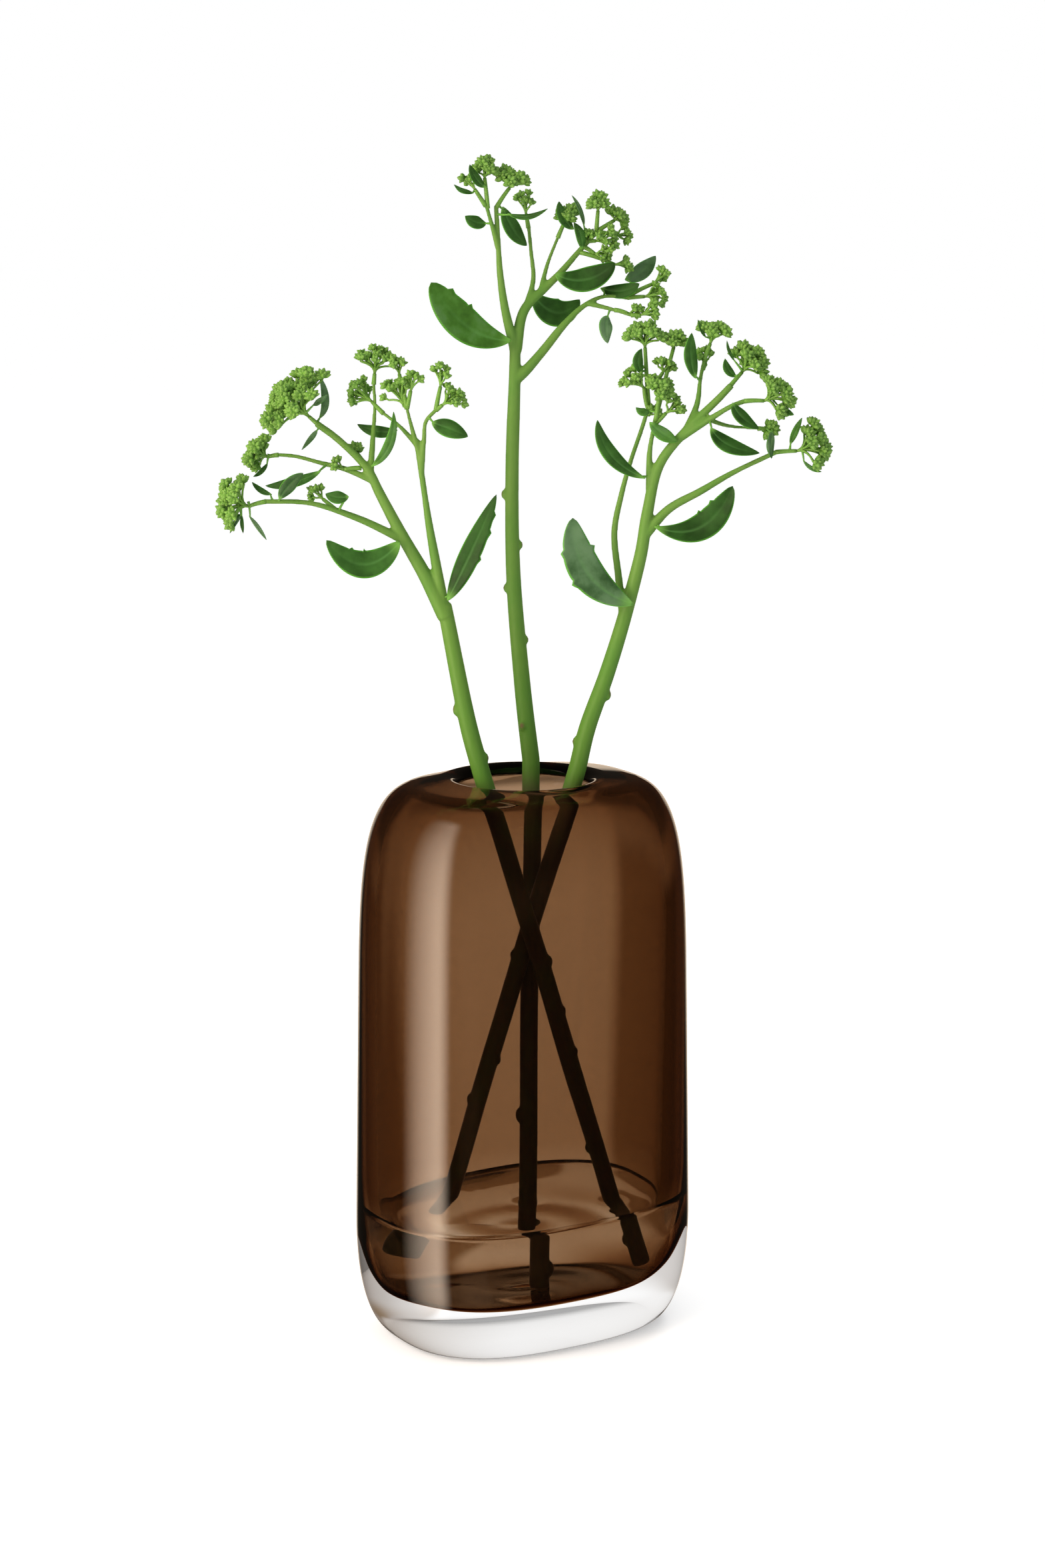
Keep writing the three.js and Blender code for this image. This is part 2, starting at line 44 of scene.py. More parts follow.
# ---- the vase's driving dimensions, as in the CAD ----
VASE_HEIGHT = 240
HALF_LENGTH, HALF_WIDTH = 71.1, 51.7  # half axes of the plan
SQUARENESS = 2.63  # of the plan: 2 would be an ellipse
PLAN_TURN = 0.533
TAPER = 0.056
BASE_ROUND, SHOULDER_ROUND = 53.1, 104.8
FOOT_SCALE = 0.749
FOOT_DROP, FOOT_SPREAD = 2.28, 2.27  # how square the foot's curve is, down and out
SHOULDER_RISE, SHOULDER_SPREAD = 4.1, 5.66  # the same for the shoulder
NECK_SCALE = 0.205  # where the shoulder's curve would end
CLEAR_LOW, CLEAR_HIGH = 10, 4  # clear wall at the foot and at the shoulder
AMBER_WALL = 2.3
AMBER_ABSORPTION = (347, 513, 706)  # red, green and blue, per metre, in a wall of AMBER_MEASURED
AMBER_MEASURED = 2.2
CLEAR_BASE = 17.5
WATER_LEVEL = 54.4
MENISCUS = 1.3  # how far the water climbs the glass
SEGMENTS = 144

# The straight lower part of each sprig: its axis at the rim's height, its lean for each mm of height, and the
# height of its cut end.
STEM_RADIUS = 3.8
AXES = {
    "left": ((-16.4, -12.7), (-0.2839, -0.0634), 28.2),
    "centre": ((3.3, 15.1), (0.0134, 0.094), 20.8),
    "right": ((21.5, -3.0), (0.2925, -0.043), 30.2),
}


def on_axis(side, z):
    mouth, lean, _ = AXES[side]
    up = z - VASE_HEIGHT
    return Vector((mouth[0] + lean[0] * up, mouth[1] + lean[1] * up, z))


# ---------------------------------------------------------------- node helpers
def new_material(name):
    """A material with its node tree, its Principled shader and its output."""
    material = bpy.data.materials.new(name)
    material.use_nodes = True
    tree = material.node_tree
    return material, tree, tree.nodes["Principled BSDF"], tree.nodes["Material Output"]


def link(tree, value, socket):
    """Feeds a socket with another node's output, a number or a colour."""
    if isinstance(value, bpy.types.NodeSocket):
        tree.links.new(value, socket)
    elif hasattr(value, "__len__"):
        socket.default_value = (*value, 1) if len(socket.default_value) == 4 else tuple(value)
    else:
        socket.default_value = value


def feed(tree, node, values):
    """Feeds a node's inputs, each by its name or number."""
    for key, value in values.items():
        link(tree, value, node.inputs[key])


def new_node(tree, kind, **values):
    node = tree.nodes.new(f"ShaderNode{kind}")
    feed(tree, node, values)
    return node


def maths(tree, operation, a, b=0.0):
    node = new_node(tree, "Math")
    node.operation = operation
    feed(tree, node, {0: a, 1: b})
    return node.outputs[0]


def ramp(tree, value, low, high, start=0.0, end=1.0):
    """A smooth step of value from start to end between low and high."""
    node = new_node(tree, "MapRange")
    node.interpolation_type = "SMOOTHSTEP"
    feed(tree, node, dict(enumerate((value, low, high, start, end))))
    return node.outputs[0]


def mix_colour(tree, factor, a, b, blend="MIX"):
    node = new_node(tree, "Mix")
    node.data_type = "RGBA"
    node.blend_type = blend
    feed(tree, node, {"Factor": factor, 6: a, 7: b})
    return node.outputs[2]


def mix_value(tree, factor, a, b):
    node = new_node(tree, "Mix")
    feed(tree, node, {"Factor": factor, 2: a, 3: b})
    return node.outputs[0]


def place(tree, scale=(1, 1, 1)):
    """The point in the frame, scaled along each axis."""
    where = new_node(tree, "TexCoord").outputs["Object"]
    return where if scale == (1, 1, 1) else new_node(tree, "Mapping", Vector=where, Scale=scale).outputs[0]


def axes_of(tree, vector):
    """The X, Y and Z of a vector."""
    return new_node(tree, "SeparateXYZ", Vector=vector).outputs


def noise(tree, vector, scale, detail=3.0, roughness=0.5):
    node = new_node(tree, "TexNoise", Vector=vector, Scale=scale, Detail=detail, Roughness=roughness)
    return node.outputs["Fac"]


def attribute(tree, name):
    node = new_node(tree, "Attribute")
    node.attribute_name = name
    return node.outputs["Fac"]


def bump(tree, height, strength, distance):
    return new_node(tree, "Bump", Strength=strength, Distance=distance, Height=height).outputs[0]


# ---------------------------------------------------------------- materials
def new_glass(name):
    material, tree, shader, output = new_material(name)
    feed(tree, shader, {"Roughness": 0.0, "Transmission Weight": 1.0})
    return material, tree, shader, output


def fleshy(tree, shader, colour, roughness, gloss, weight, radius, scale):
    """Plant tissue: light goes a little way into it, and its shine is faint."""
    feed(tree, shader, {
        "Base Color": colour,
        "Roughness": roughness,
        "Specular IOR Level": gloss,
        "Subsurface Weight": weight,
        "Subsurface Radius": radius,
        "Subsurface Scale": scale,
    })


def clear_glass():
    """Clear casing. Light bends less in the foot's tight round, which keeps the thick base bright, and the
    foot has a painted grey-brown shade, strongest where it is seen edge-on, low down and at its left end."""
    material, tree, shader, _ = new_glass("clear_glass")
    where = axes_of(tree, place(tree))
    height = where["Z"]
    facing = new_node(tree, "LayerWeight", Blend=0.5).outputs["Facing"]
    # painted shade: grey-brown on the foot where it is seen edge-on, less higher up, most at the left end
    foot = maths(tree, "MULTIPLY", ramp(tree, facing, 0.2, 0.85), ramp(tree, height, 0.03, 0.07, 1, 0.35))
    foot = maths(tree, "MULTIPLY", foot, ramp(tree, where["X"], -0.05, 0.0, 1.0, 0.3))
    waves = noise(tree, place(tree, (1, 1, 0.35)), 22, 1.5)
    feed(tree, shader, {
        "Base Color": mix_colour(tree, foot, (1, 1, 1), (0.42, 0.36, 0.31)),
        "IOR": ramp(tree, height, 0.010, 0.034, 1.03, 1.5),
        "Normal": bump(tree, waves, 0.10, 0.0012),
    })
    return material


def amber_glass():
    """The colour lies in the glass, so a thicker way through it is darker."""
    material, tree, shader, output = new_glass("amber_glass")
    feed(tree, shader, {"Base Color": (1, 1, 1), "IOR": 1.0})
    absorb = [sigma * AMBER_MEASURED / AMBER_WALL for sigma in AMBER_ABSORPTION]
    density = max(absorb) * 1.02
    colour = [1 - a / density for a in absorb]  # the shader absorbs density * (1 - colour)
    volume = new_node(tree, "VolumeAbsorption", Color=colour, Density=density)
    link(tree, volume.outputs[0], output.inputs["Volume"])
    return material


def water_look():
    material, tree, shader, _ = new_glass("water")
    ripples = bump(tree, noise(tree, place(tree), 45, 1.0), 0.08, 0.001)
    feed(tree, shader, {"Base Color": (1, 1, 1), "IOR": 1.33, "Normal": ripples})
    return material


def stem_look():
    """Fleshy green stem: fine lengthwise streaks, paler towards the branches, brown on the old leaf scars,
    and dark brown below the rim as painted shade where it stands in the vase."""
    material, tree, shader, _ = new_material("stem")
    streaks = noise(tree, place(tree, (1, 1, 0.05)), 1500, 2.0)
    patches = noise(tree, place(tree, (1, 1, 0.4)), 90, 3.0)
    height = axes_of(tree, place(tree))["Z"]
    fresh = mix_colour(tree, ramp(tree, height, 0.25, 0.36), (0.084, 0.185, 0.026), (0.118, 0.228, 0.044))
    # painted shade: the whole stem below the rim is dark brown, as it looks inside the amber vase
    green = mix_colour(tree, ramp(tree, height, 0.225, 0.244), (0.08, 0.058, 0.034), fresh)
    streak = ramp(tree, streaks, 0.35, 0.7, 0.0, 0.16)
    streaked = mix_colour(tree, streak, green, (0.30, 0.46, 0.16), "SOFT_LIGHT")
    mottled = mix_colour(tree, ramp(tree, patches, 0.35, 0.75, 0.0, 0.35), streaked, (0.05, 0.18, 0.02))
    colour = mix_colour(tree, attribute(tree, "scar"), mottled, (0.11, 0.075, 0.035))
    roughness = ramp(tree, patches, 0.3, 0.7, 0.34, 0.5)
    fleshy(tree, shader, colour, roughness, 0.14, 0.12, (0.6, 1.0, 0.3), 0.0015)
    link(tree, bump(tree, streaks, 0.05, 0.0003), shader.inputs["Normal"])
    return material


def leaf_look(name, body, bloom, amount):
    """Fleshy leaf: a bright thin margin, a paler midrib, and soft light and dark patches with a grey bloom
    that are partly waxy bloom and partly painted sheen.
    """
    material, tree, shader, _ = new_material(name)
    patches = noise(tree, place(tree), 70, 4.0, 0.6)
    specks = noise(tree, place(tree), 900, 2.0)
    margin = ramp(tree, attribute(tree, "rim"), 0.72, 1.0, 0.0, 0.85)
    midrib = maths(tree, "MULTIPLY", attribute(tree, "vein"), 0.4)
    foot = ramp(tree, attribute(tree, "along"), 0.0, 0.16, 0.7, 0.0)
    # light and dark patches and grey bloom: partly the leaf's waxy bloom, partly painted sheen
    waxed = ramp(tree, patches, 0.62 - amount, 0.86 - amount * 0.6, 0.0, 0.85)
    base = mix_colour(tree, ramp(tree, patches, 0.3, 0.75), [c * 0.6 for c in body], [c * 1.45 for c in body])
    waxy = mix_colour(tree, waxed, base, bloom)
    veined = mix_colour(tree, midrib, waxy, (0.10, 0.27, 0.07))
    edged = mix_colour(tree, margin, veined, (0.10, 0.36, 0.035))
    colour = mix_colour(tree, foot, edged, (0.15, 0.36, 0.06))
    roughness = ramp(tree, patches, 0.35, 0.75, 0.38, 0.52)
    fleshy(tree, shader, colour, roughness, 0.12, 0.1, (0.5, 1.0, 0.25), 0.001)
    link(tree, bump(tree, specks, 0.12, 0.0002), shader.inputs["Normal"])
    return material


def bud_look():
    """Tight green buds: each has its own tone, a paler waist that is a painted highlight, and a slightly
    yellow tip.
    """
    material, tree, shader, _ = new_material("bud")
    along = attribute(tree, "along")
    green = mix_colour(tree, attribute(tree, "tone"), (0.036, 0.125, 0.008), (0.115, 0.27, 0.028))
    # painted highlight: paler green from the bud's waist towards its tip
    pale = mix_colour(tree, ramp(tree, along, 0.25, 0.75, 0.0, 0.5), green, (0.21, 0.39, 0.085))
    tip = mix_colour(tree, ramp(tree, along, 0.8, 1.0, 0.0, 0.5), pale, (0.19, 0.29, 0.07))
    specks = noise(tree, place(tree), 1600, 2.0)
    colour = mix_colour(tree, ramp(tree, specks, 0.4, 0.7, 0.0, 0.3), tip, (0.07, 0.2, 0.02))
    roughness = ramp(tree, specks, 0.3, 0.7, 0.36, 0.5)
    fleshy(tree, shader, colour, roughness, 0.3, 0.15, (0.5, 1.0, 0.2), 0.0008)
    return material


CLEAR = clear_glass()
AMBER = amber_glass()
WATER = water_look()
STEM = stem_look()
BUD = bud_look()
LEAF = {
    "green": leaf_look("leaf_green", (0.027, 0.088, 0.014), (0.062, 0.135, 0.05), 0.0),
    # leaf_grey: a lighter, greyer copy with more bloom, partly waxy bloom and partly painted sheen
    "grey": leaf_look("leaf_grey", (0.042, 0.11, 0.034), (0.10, 0.18, 0.09), 0.3),
    "bright": leaf_look("leaf_bright", (0.045, 0.14, 0.016), (0.075, 0.14, 0.065), 0.15),
    # leaf_deep: a darker copy of the same green, painted shade for leaves that stand in shade
    "deep": leaf_look("leaf_deep", (0.016, 0.058, 0.008), (0.03, 0.08, 0.025), -0.05),
}


# ---------------------------------------------------------------- mesh helpers
def set_numbers(mesh, numbers):
    """Gives a mesh one number a vertex in each named attribute."""
    for key, values in numbers.items():
        mesh.attributes.new(key, "FLOAT", "POINT").data.foreach_set("value", np.array(values, np.float32))


def make_object(name, vertices, faces, material, numbers=None):
    """A smooth mesh object from points in millimetres."""
    mesh = bpy.data.meshes.new(name)
    mesh.from_pydata([tuple(c * MM for c in v) for v in vertices], [], faces)
    set_numbers(mesh, numbers or {})
    mesh.polygons.foreach_set("use_smooth", [True] * len(mesh.polygons))
    mesh.materials.append(material)
    mesh.update()
    obj = bpy.data.objects.new(name, mesh)
    bpy.context.scene.collection.objects.link(obj)
    return obj


def ring_faces(count, around, first=0):
    """Quads between rings of points, with one face over each end."""
    faces = []
    for i in range(count - 1):
        a, b = first + i * around, first + (i + 1) * around
        for j in range(around):
            k = (j + 1) % around
            faces.append((a + j, a + k, b + k, b + j))
    faces.append(tuple(first + j for j in reversed(range(around))))
    faces.append(tuple(first + (count - 1) * around + j for j in range(around)))
    return faces


def finish_piece(obj, body, node):
    """Every piece rides on a body. Most stand for a node of the CAD, whose part is hidden."""
    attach(obj, body)
    if node:
        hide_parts(node)
    return obj


# ---------------------------------------------------------------- the vase
def signed_power(value, power):
    return math.copysign(abs(value) ** power, value)


def plan_point(turn, inset):
    x = (HALF_LENGTH - inset) * signed_power(math.cos(turn), 2 / SQUARENESS)
    y = (HALF_WIDTH - inset) * signed_power(math.sin(turn), 2 / SQUARENESS)
    c, s = math.cos(PLAN_TURN), math.sin(PLAN_TURN)
    return Vector((x * c - y * s, x * s + y * c, 0))


TURNS = [2 * math.pi * j / SEGMENTS for j in range(SEGMENTS)]


def section_ring(z, scale, inset):
    """The plan's outline at one height, scaled and drawn in by the wall's thickness."""
    k = scale * (1 + TAPER * (0.5 - z / VASE_HEIGHT))
    return [plan_point(t, inset) * k + UP * z for t in TURNS]


def round_ring(z, radius):
    return [plan_point(t, 0).normalized() * radius + UP * z for t in TURNS]


def skin(floor, top, foot, shoulder, foot_scale, inset_low, inset_high, last, low_steps, high_steps):
    """One skin of the vase from its floor up: foot curve, straight wall, and the shoulder's curve as far as
    'last' degrees of its quarter turn."""
    stations = []
    for i in range(low_steps + 1):
        a = math.radians(90 * i / low_steps)
        drop = max(math.cos(a), 0) ** (2 / FOOT_DROP) if i < low_steps else 0
        scale = foot_scale + (1 - foot_scale) * math.sin(a) ** (2 / FOOT_SPREAD)
        stations.append((floor + foot * (1 - drop), scale))
    low, high = floor + foot, top - shoulder
    stations += [(low + (high - low) * i / 6, 1.0) for i in range(1, 6)]
    for i in range(high_steps + 1):
        a = math.radians(last * i / high_steps)
        rise = math.sin(a) ** (2 / SHOULDER_RISE)
        scale = NECK_SCALE + (1 - NECK_SCALE) * math.cos(a) ** (2 / SHOULDER_SPREAD)
        stations.append((top - shoulder * (1 - rise), scale))
    return [
        section_ring(z, scale, inset_low + (inset_high - inset_low) * (z - floor) / (top - floor))
        for z, scale in stations
    ]


def blend_rings(a, b, steps):
    """Rings part of the way from ring a to ring b, ending on b."""
    return [[p.lerp(q, i / steps) for p, q in zip(a, b)] for i in range(1, steps + 1)]


def floor_rings(ring, count):
    """The flat floor inside a ring, from its middle outwards."""
    middle = sum(ring, Vector()) / len(ring)
    return [[middle.lerp(p, i / count) for p in ring] for i in range(1, count)]


RIPPLE_FROM, RIPPLE_FADE = 19, 26  # the ripples fade out over this height above the floor


def rippled(rings):
    """Hand-blown unevenness of the cavity's floor and foot: a faint spiral and one slow swell."""
    out = []
    for ring in rings:
        moved = []
        for p in ring:
            near = max(0.0, 1 - max(0.0, p.z - RIPPLE_FROM) / RIPPLE_FADE)
            reach = math.hypot(p.x * 0.8 + 4, p.y)
            spiral = 0.8 * math.sin(reach / 3.4 + 0.8 * math.atan2(p.y, p.x))
            swell = 0.5 * math.sin(p.x / 17 + 1)
            moved.append(p + UP * (spiral + swell) * near * near)
        out.append(moved)
    return out


CAVITY_TOP = 235.2
CAVITY_FOOT, CAVITY_SHOULDER = 50, 100
CAVITY_FOOT_SCALE = 0.6
# Height and radius of each ring over the lip and just under it, in the glass and in the amber.
LIP = [(239.85, 32.6), (239.7, 31.4), (239.3, 30.1), (238.6, 29.0), (237.6, 28.0), (236.4, 27.5),
       (235.7, 27.5), (235.25, 28.0), (CAVITY_TOP, 29.5)]
AMBER_LIP = [(237.6, 30.4), (237.0, 29.4), (236.2, 28.7), (235.6, 28.3), (CAVITY_TOP + 0.05, 28.4)]


def inner_skin(floor, top, inset, low_steps):
    low, high = CLEAR_LOW + inset, CLEAR_HIGH + inset
    return skin(floor, top, CAVITY_FOOT, CAVITY_SHOULDER, CAVITY_FOOT_SCALE, low, high, 69, low_steps, 30)


def cavity(grow):
    """The cavity's wall from the middle of its floor to the neck, grown into the glass by 'grow'."""
    inset = AMBER_WALL - grow
    wall = inner_skin(CLEAR_BASE + inset, CAVITY_TOP - 0.1 + grow, inset, 26)
    wall = floor_rings(wall[0], 16) + wall
    return rippled(wall) + blend_rings(wall[-1], round_ring(CAVITY_TOP + grow, 31.0), 5)


def vase_piece(name, rings, material, node):
    """A closed piece of the vase from its rings of points."""
    vertices = [p for ring in rings for p in ring]
    obj = make_object(name, vertices, ring_faces(len(rings), SEGMENTS), material)
    return finish_piece(obj, "vase", node)


def glass_body():
    outer = skin(0, VASE_HEIGHT, BASE_ROUND, SHOULDER_ROUND, FOOT_SCALE, 0, 0, 75, 22, 40)
    rings = outer + blend_rings(outer[-1], round_ring(239.9, 33.6), 5)
    rings += [round_ring(z, r) for z, r in LIP] + cavity(0)[::-1]
    obj = vase_piece("glass_body", rings, CLEAR, "clear_glass_case")
    underside = len(obj.data.polygons) - 2
    obj.data.polygons[underside].use_smooth = False


WET_TOP, WET_FADE = 64, 16  # below this height the amber's outer skin draws in, over this fade
WET_SHRINK = 0.019  # so that the amber is thinner beside the water
WET_FLOOR = 0.9  # and thinner under it


def amber_layer():
    rings = inner_skin(CLEAR_BASE + WET_FLOOR, VASE_HEIGHT - 2.4, 0, 22)
    for ring in rings:
        low = min(1.0, max(0.0, (WET_TOP - ring[0].z) / WET_FADE))
        ring[:] = [Vector((p.x, p.y, 0)) * (1 - WET_SHRINK * low) + UP * p.z for p in ring]
    rings += blend_rings(rings[-1], round_ring(237.7, 31.5), 4)
    rings += [round_ring(z, r) for z, r in AMBER_LIP] + cavity(0.05)[::-1]
    vase_piece("amber_layer", rings, AMBER, "amber_glass_lining")


def water_surface(p, wall_gap):
    """The surface's height: it climbs the glass and each stem, with faint rings round the stems."""
    z = WATER_LEVEL + MENISCUS * math.exp(-wall_gap / 1.1)
    for side in AXES:
        outside = max(0.0, (p.xy - on_axis(side, WATER_LEVEL).xy).length - STEM_RADIUS)
        z += 0.9 * math.exp(-outside / 1.2) + 0.10 * math.sin(outside * 0.9) * math.exp(-outside / 9)
    return z


def water_fill():
    wall = cavity(0.1)
    level = WATER_LEVEL + MENISCUS
    wet = [ring for ring in wall if ring[0].z < level - 0.6]
    below, above = wet[-1], wall[len(wet)]
    share = (level - below[0].z) / (above[0].z - below[0].z)
    edge = [p.lerp(q, share) for p, q in zip(below, above)]
    rings = wet + [[Vector((p.x, p.y, water_surface(p, 0))) for p in edge]]
    for gap in [0.25, 0.6, 1.0, 1.6, 2.4, 3.4] + [4.6 + 1.2 * i for i in range(34)]:
        shrunk = [p * (1 - gap / 46) for p in edge]
        rings.append([Vector((p.x, p.y, water_surface(p, gap))) for p in shrunk])
    vase_piece("water_fill", rings, WATER, "water")


# ---------------------------------------------------------------- stems
def between(p, q, start, end, t):
    """The point at t on a line that is at p at start and at q at end."""
    return p * ((end - t) / (end - start)) + q * ((t - start) / (end - start))


def curve_points(points, step):
    """Points about 'step' apart on a smooth curve through the given ones, with the share of its length."""
    pts = [Vector(p) for p in points]
    if len(pts) == 2:
        count = max(2, round((pts[1] - pts[0]).length / step))
        return [(pts[0].lerp(pts[1], i / count), i / count) for i in range(count + 1)]
    padded = [pts[0] * 2 - pts[1], *pts, pts[-1] * 2 - pts[-2]]
    found = []
    for i in range(1, len(padded) - 2):
        p0, p1, p2, p3 = padded[i - 1 : i + 3]
        t1 = (p1 - p0).length ** 0.5
        t2 = t1 + (p2 - p1).length ** 0.5
        t3 = t2 + (p3 - p2).length ** 0.5
        count = max(2, round((p2 - p1).length / step))
        for j in range(count if i < len(padded) - 3 else count + 1):
            t = t1 + (t2 - t1) * j / count
            a = between(p1, p2, t1, t2, t)
            b = between(between(p0, p1, 0, t1, t), a, 0, t2, t)
            c = between(a, between(p2, p3, t2, t3, t), t1, t3, t)
            found.append(between(b, c, t1, t2, t))
    lengths = [0.0]
    for a, b in zip(found, found[1:]):
        lengths.append(lengths[-1] + (b - a).length)
    return [(p, s / lengths[-1]) for p, s in zip(found, lengths)]


def radius_at(radii, share):
    f = min(share * (len(radii) - 1), len(radii) - 1 - 1e-9)
    i = int(f)
    return radii[i] + (radii[i + 1] - radii[i]) * (f - i)


def tube(vertices, faces, path, radii, sides):
    """Adds a closed tapering tube along the path to the lists, and returns how many points it has."""
    first = len(vertices)
    side = None
    for i, (p, share) in enumerate(path):
        before, after = path[max(i - 1, 0)][0], path[min(i + 1, len(path) - 1)][0]
        along = (after - before).normalized()
        if side is None:
            side = Vector((0, 1, 0)) if abs(along.y) < 0.9 else Vector((1, 0, 0))
        side = (side - along * side.dot(along)).normalized()
        up = along.cross(side)
        r = radius_at(radii, share)
        for j in range(sides):
            a = 2 * math.pi * j / sides
            vertices.append(p + side * (r * math.cos(a)) + up * (r * math.sin(a)))
    faces += ring_faces(len(path), sides, first)
    return len(vertices) - first


def knob(vertices, faces, centre, radius, stretch=1.5):
    """Adds a small rounded lump, longer upwards by 'stretch'."""
    first = len(vertices)
    rows, around = 6, 10
    for i in range(rows):
        a = math.pi * (i + 0.5) / rows - math.pi / 2
        for j in range(around):
            b = 2 * math.pi * j / around
            offset = Vector((math.cos(a) * math.cos(b), math.cos(a) * math.sin(b), math.sin(a) * stretch))
            vertices.append(centre + offset * radius)
    faces += ring_faces(rows, around, first)


def trunk_path(side, trunk):
    """The trunk's axis from its cut end upwards: straight in the vase, but for a slight wander."""
    foot, rim = on_axis(side, AXES[side][2]), on_axis(side, VASE_HEIGHT + 4)
    path = [(foot.lerp(rim, i / 60), 0.0) for i in range(60)] + curve_points([rim, *trunk], 3)
    rng = random.Random(side)
    slow, quick = rng.uniform(0.4, 1.0), rng.uniform(0.4, 1.0)
    wavy = []
    for p, share in path:
        bend = 0.2 * math.sin(p.z / 21 * slow) + 0.12 * math.sin(p.z / 9 * quick + 2)
        keep = min(1.0, max(0.0, (p.z - foot.z - 12) / 30))
        wavy.append((p + Vector((bend * keep, 0.3 * bend * keep, 0)), share))
    return wavy


def melt(obj, voxel, smoothing):
    """Turns overlapping tubes into one skin, and returns its mesh."""
    remesh = obj.modifiers.new("melt", "REMESH")
    remesh.mode, remesh.voxel_size, remesh.use_smooth_shade = "VOXEL", voxel, True
    smooth = obj.modifiers.new("smooth", "SMOOTH")
    smooth.factor, smooth.iterations = 0.5, smoothing
    melted = bpy.data.meshes.new_from_object(obj.evaluated_get(bpy.context.evaluated_depsgraph_get()))
    obj.modifiers.clear()
    obj.data = melted
    return melted


def stem_mesh(side, trunk, radii, branches, scars):
    """Trunk and branches melted into one skin, so that the forks are filleted as on the plant."""
    vertices, faces = [], []
    path = trunk_path(side, trunk)
    tube(vertices, faces, path, radii, 28)
    for points, thickness in branches:
        flare = [thickness[0] * 1.25, *thickness, thickness[-1] * 0.95]
        tube(vertices, faces, curve_points(points, 1.6), flare, 16)
    marks = []
    for z, turn, size in scars:
        centre = min(path, key=lambda q: abs(q[0].z - z))[0]
        at = centre + Vector((math.cos(turn), math.sin(turn), 0)) * (STEM_RADIUS - 0.5)
        size *= 1.25 if z > 200 else 1.6
        knob(vertices, faces, at, size)
        marks.append((at + Vector((math.cos(turn), math.sin(turn), 0.3)) * size, size))
    obj = make_object(f"{side}_stem", vertices, faces, STEM)
    melted = melt(obj, 0.5 * MM, 8)
    co = np.empty(len(melted.vertices) * 3, np.float32)
    melted.vertices.foreach_get("co", co)
    co = co.reshape(-1, 3) / MM
    scar = np.zeros(len(co), np.float32)
    for at, size in marks:
        away = np.linalg.norm(co - np.array(at), axis=1)
        scar = np.maximum(scar, np.clip(1.25 - away / (size * 0.9), 0, 1))
    cut_end = AXES[side][2] + 1.2
    scar = np.maximum(scar, np.clip((cut_end - co[:, 2]) / 1.2, 0, 1))
    set_numbers(melted, {"scar": scar})
    melted.polygons.foreach_set("use_smooth", [True] * len(melted.polygons))
    finish_piece(obj, f"{side}_sprig", f"{side}_sprig_stem")


def frame_of(axis):
    """Two directions square to axis."""
    side = axis.cross(UP if abs(axis.z) < 0.9 else Vector((1, 0, 0))).normalized()
    return side, axis.cross(side)


def bezier(start, control, end, u):
    return start * (1 - u) ** 2 + control * (2 * u * (1 - u)) + end * u**2


def bow(start, end, lean, bulge, steps=5):
    """A curved line that leaves start along 'lean'."""
    control = start + lean.normalized() * (end - start).length * bulge
    return [(bezier(start, control, end, i / steps), i / steps) for i in range(steps + 1)]


# ---------------------------------------------------------------- leaves
LEAF_ROWS, LEAF_COLUMNS = 44, 12  # along the leaf and across one of its faces
TOOTH_OUT, TOOTH_IN = 0.085, 0.025  # of the leaf's width
CUP = 0.12  # how much the margins rise
GROOVE_WIDTH, VEIN_WIDTH = 0.11, 0.09  # of half the leaf's width


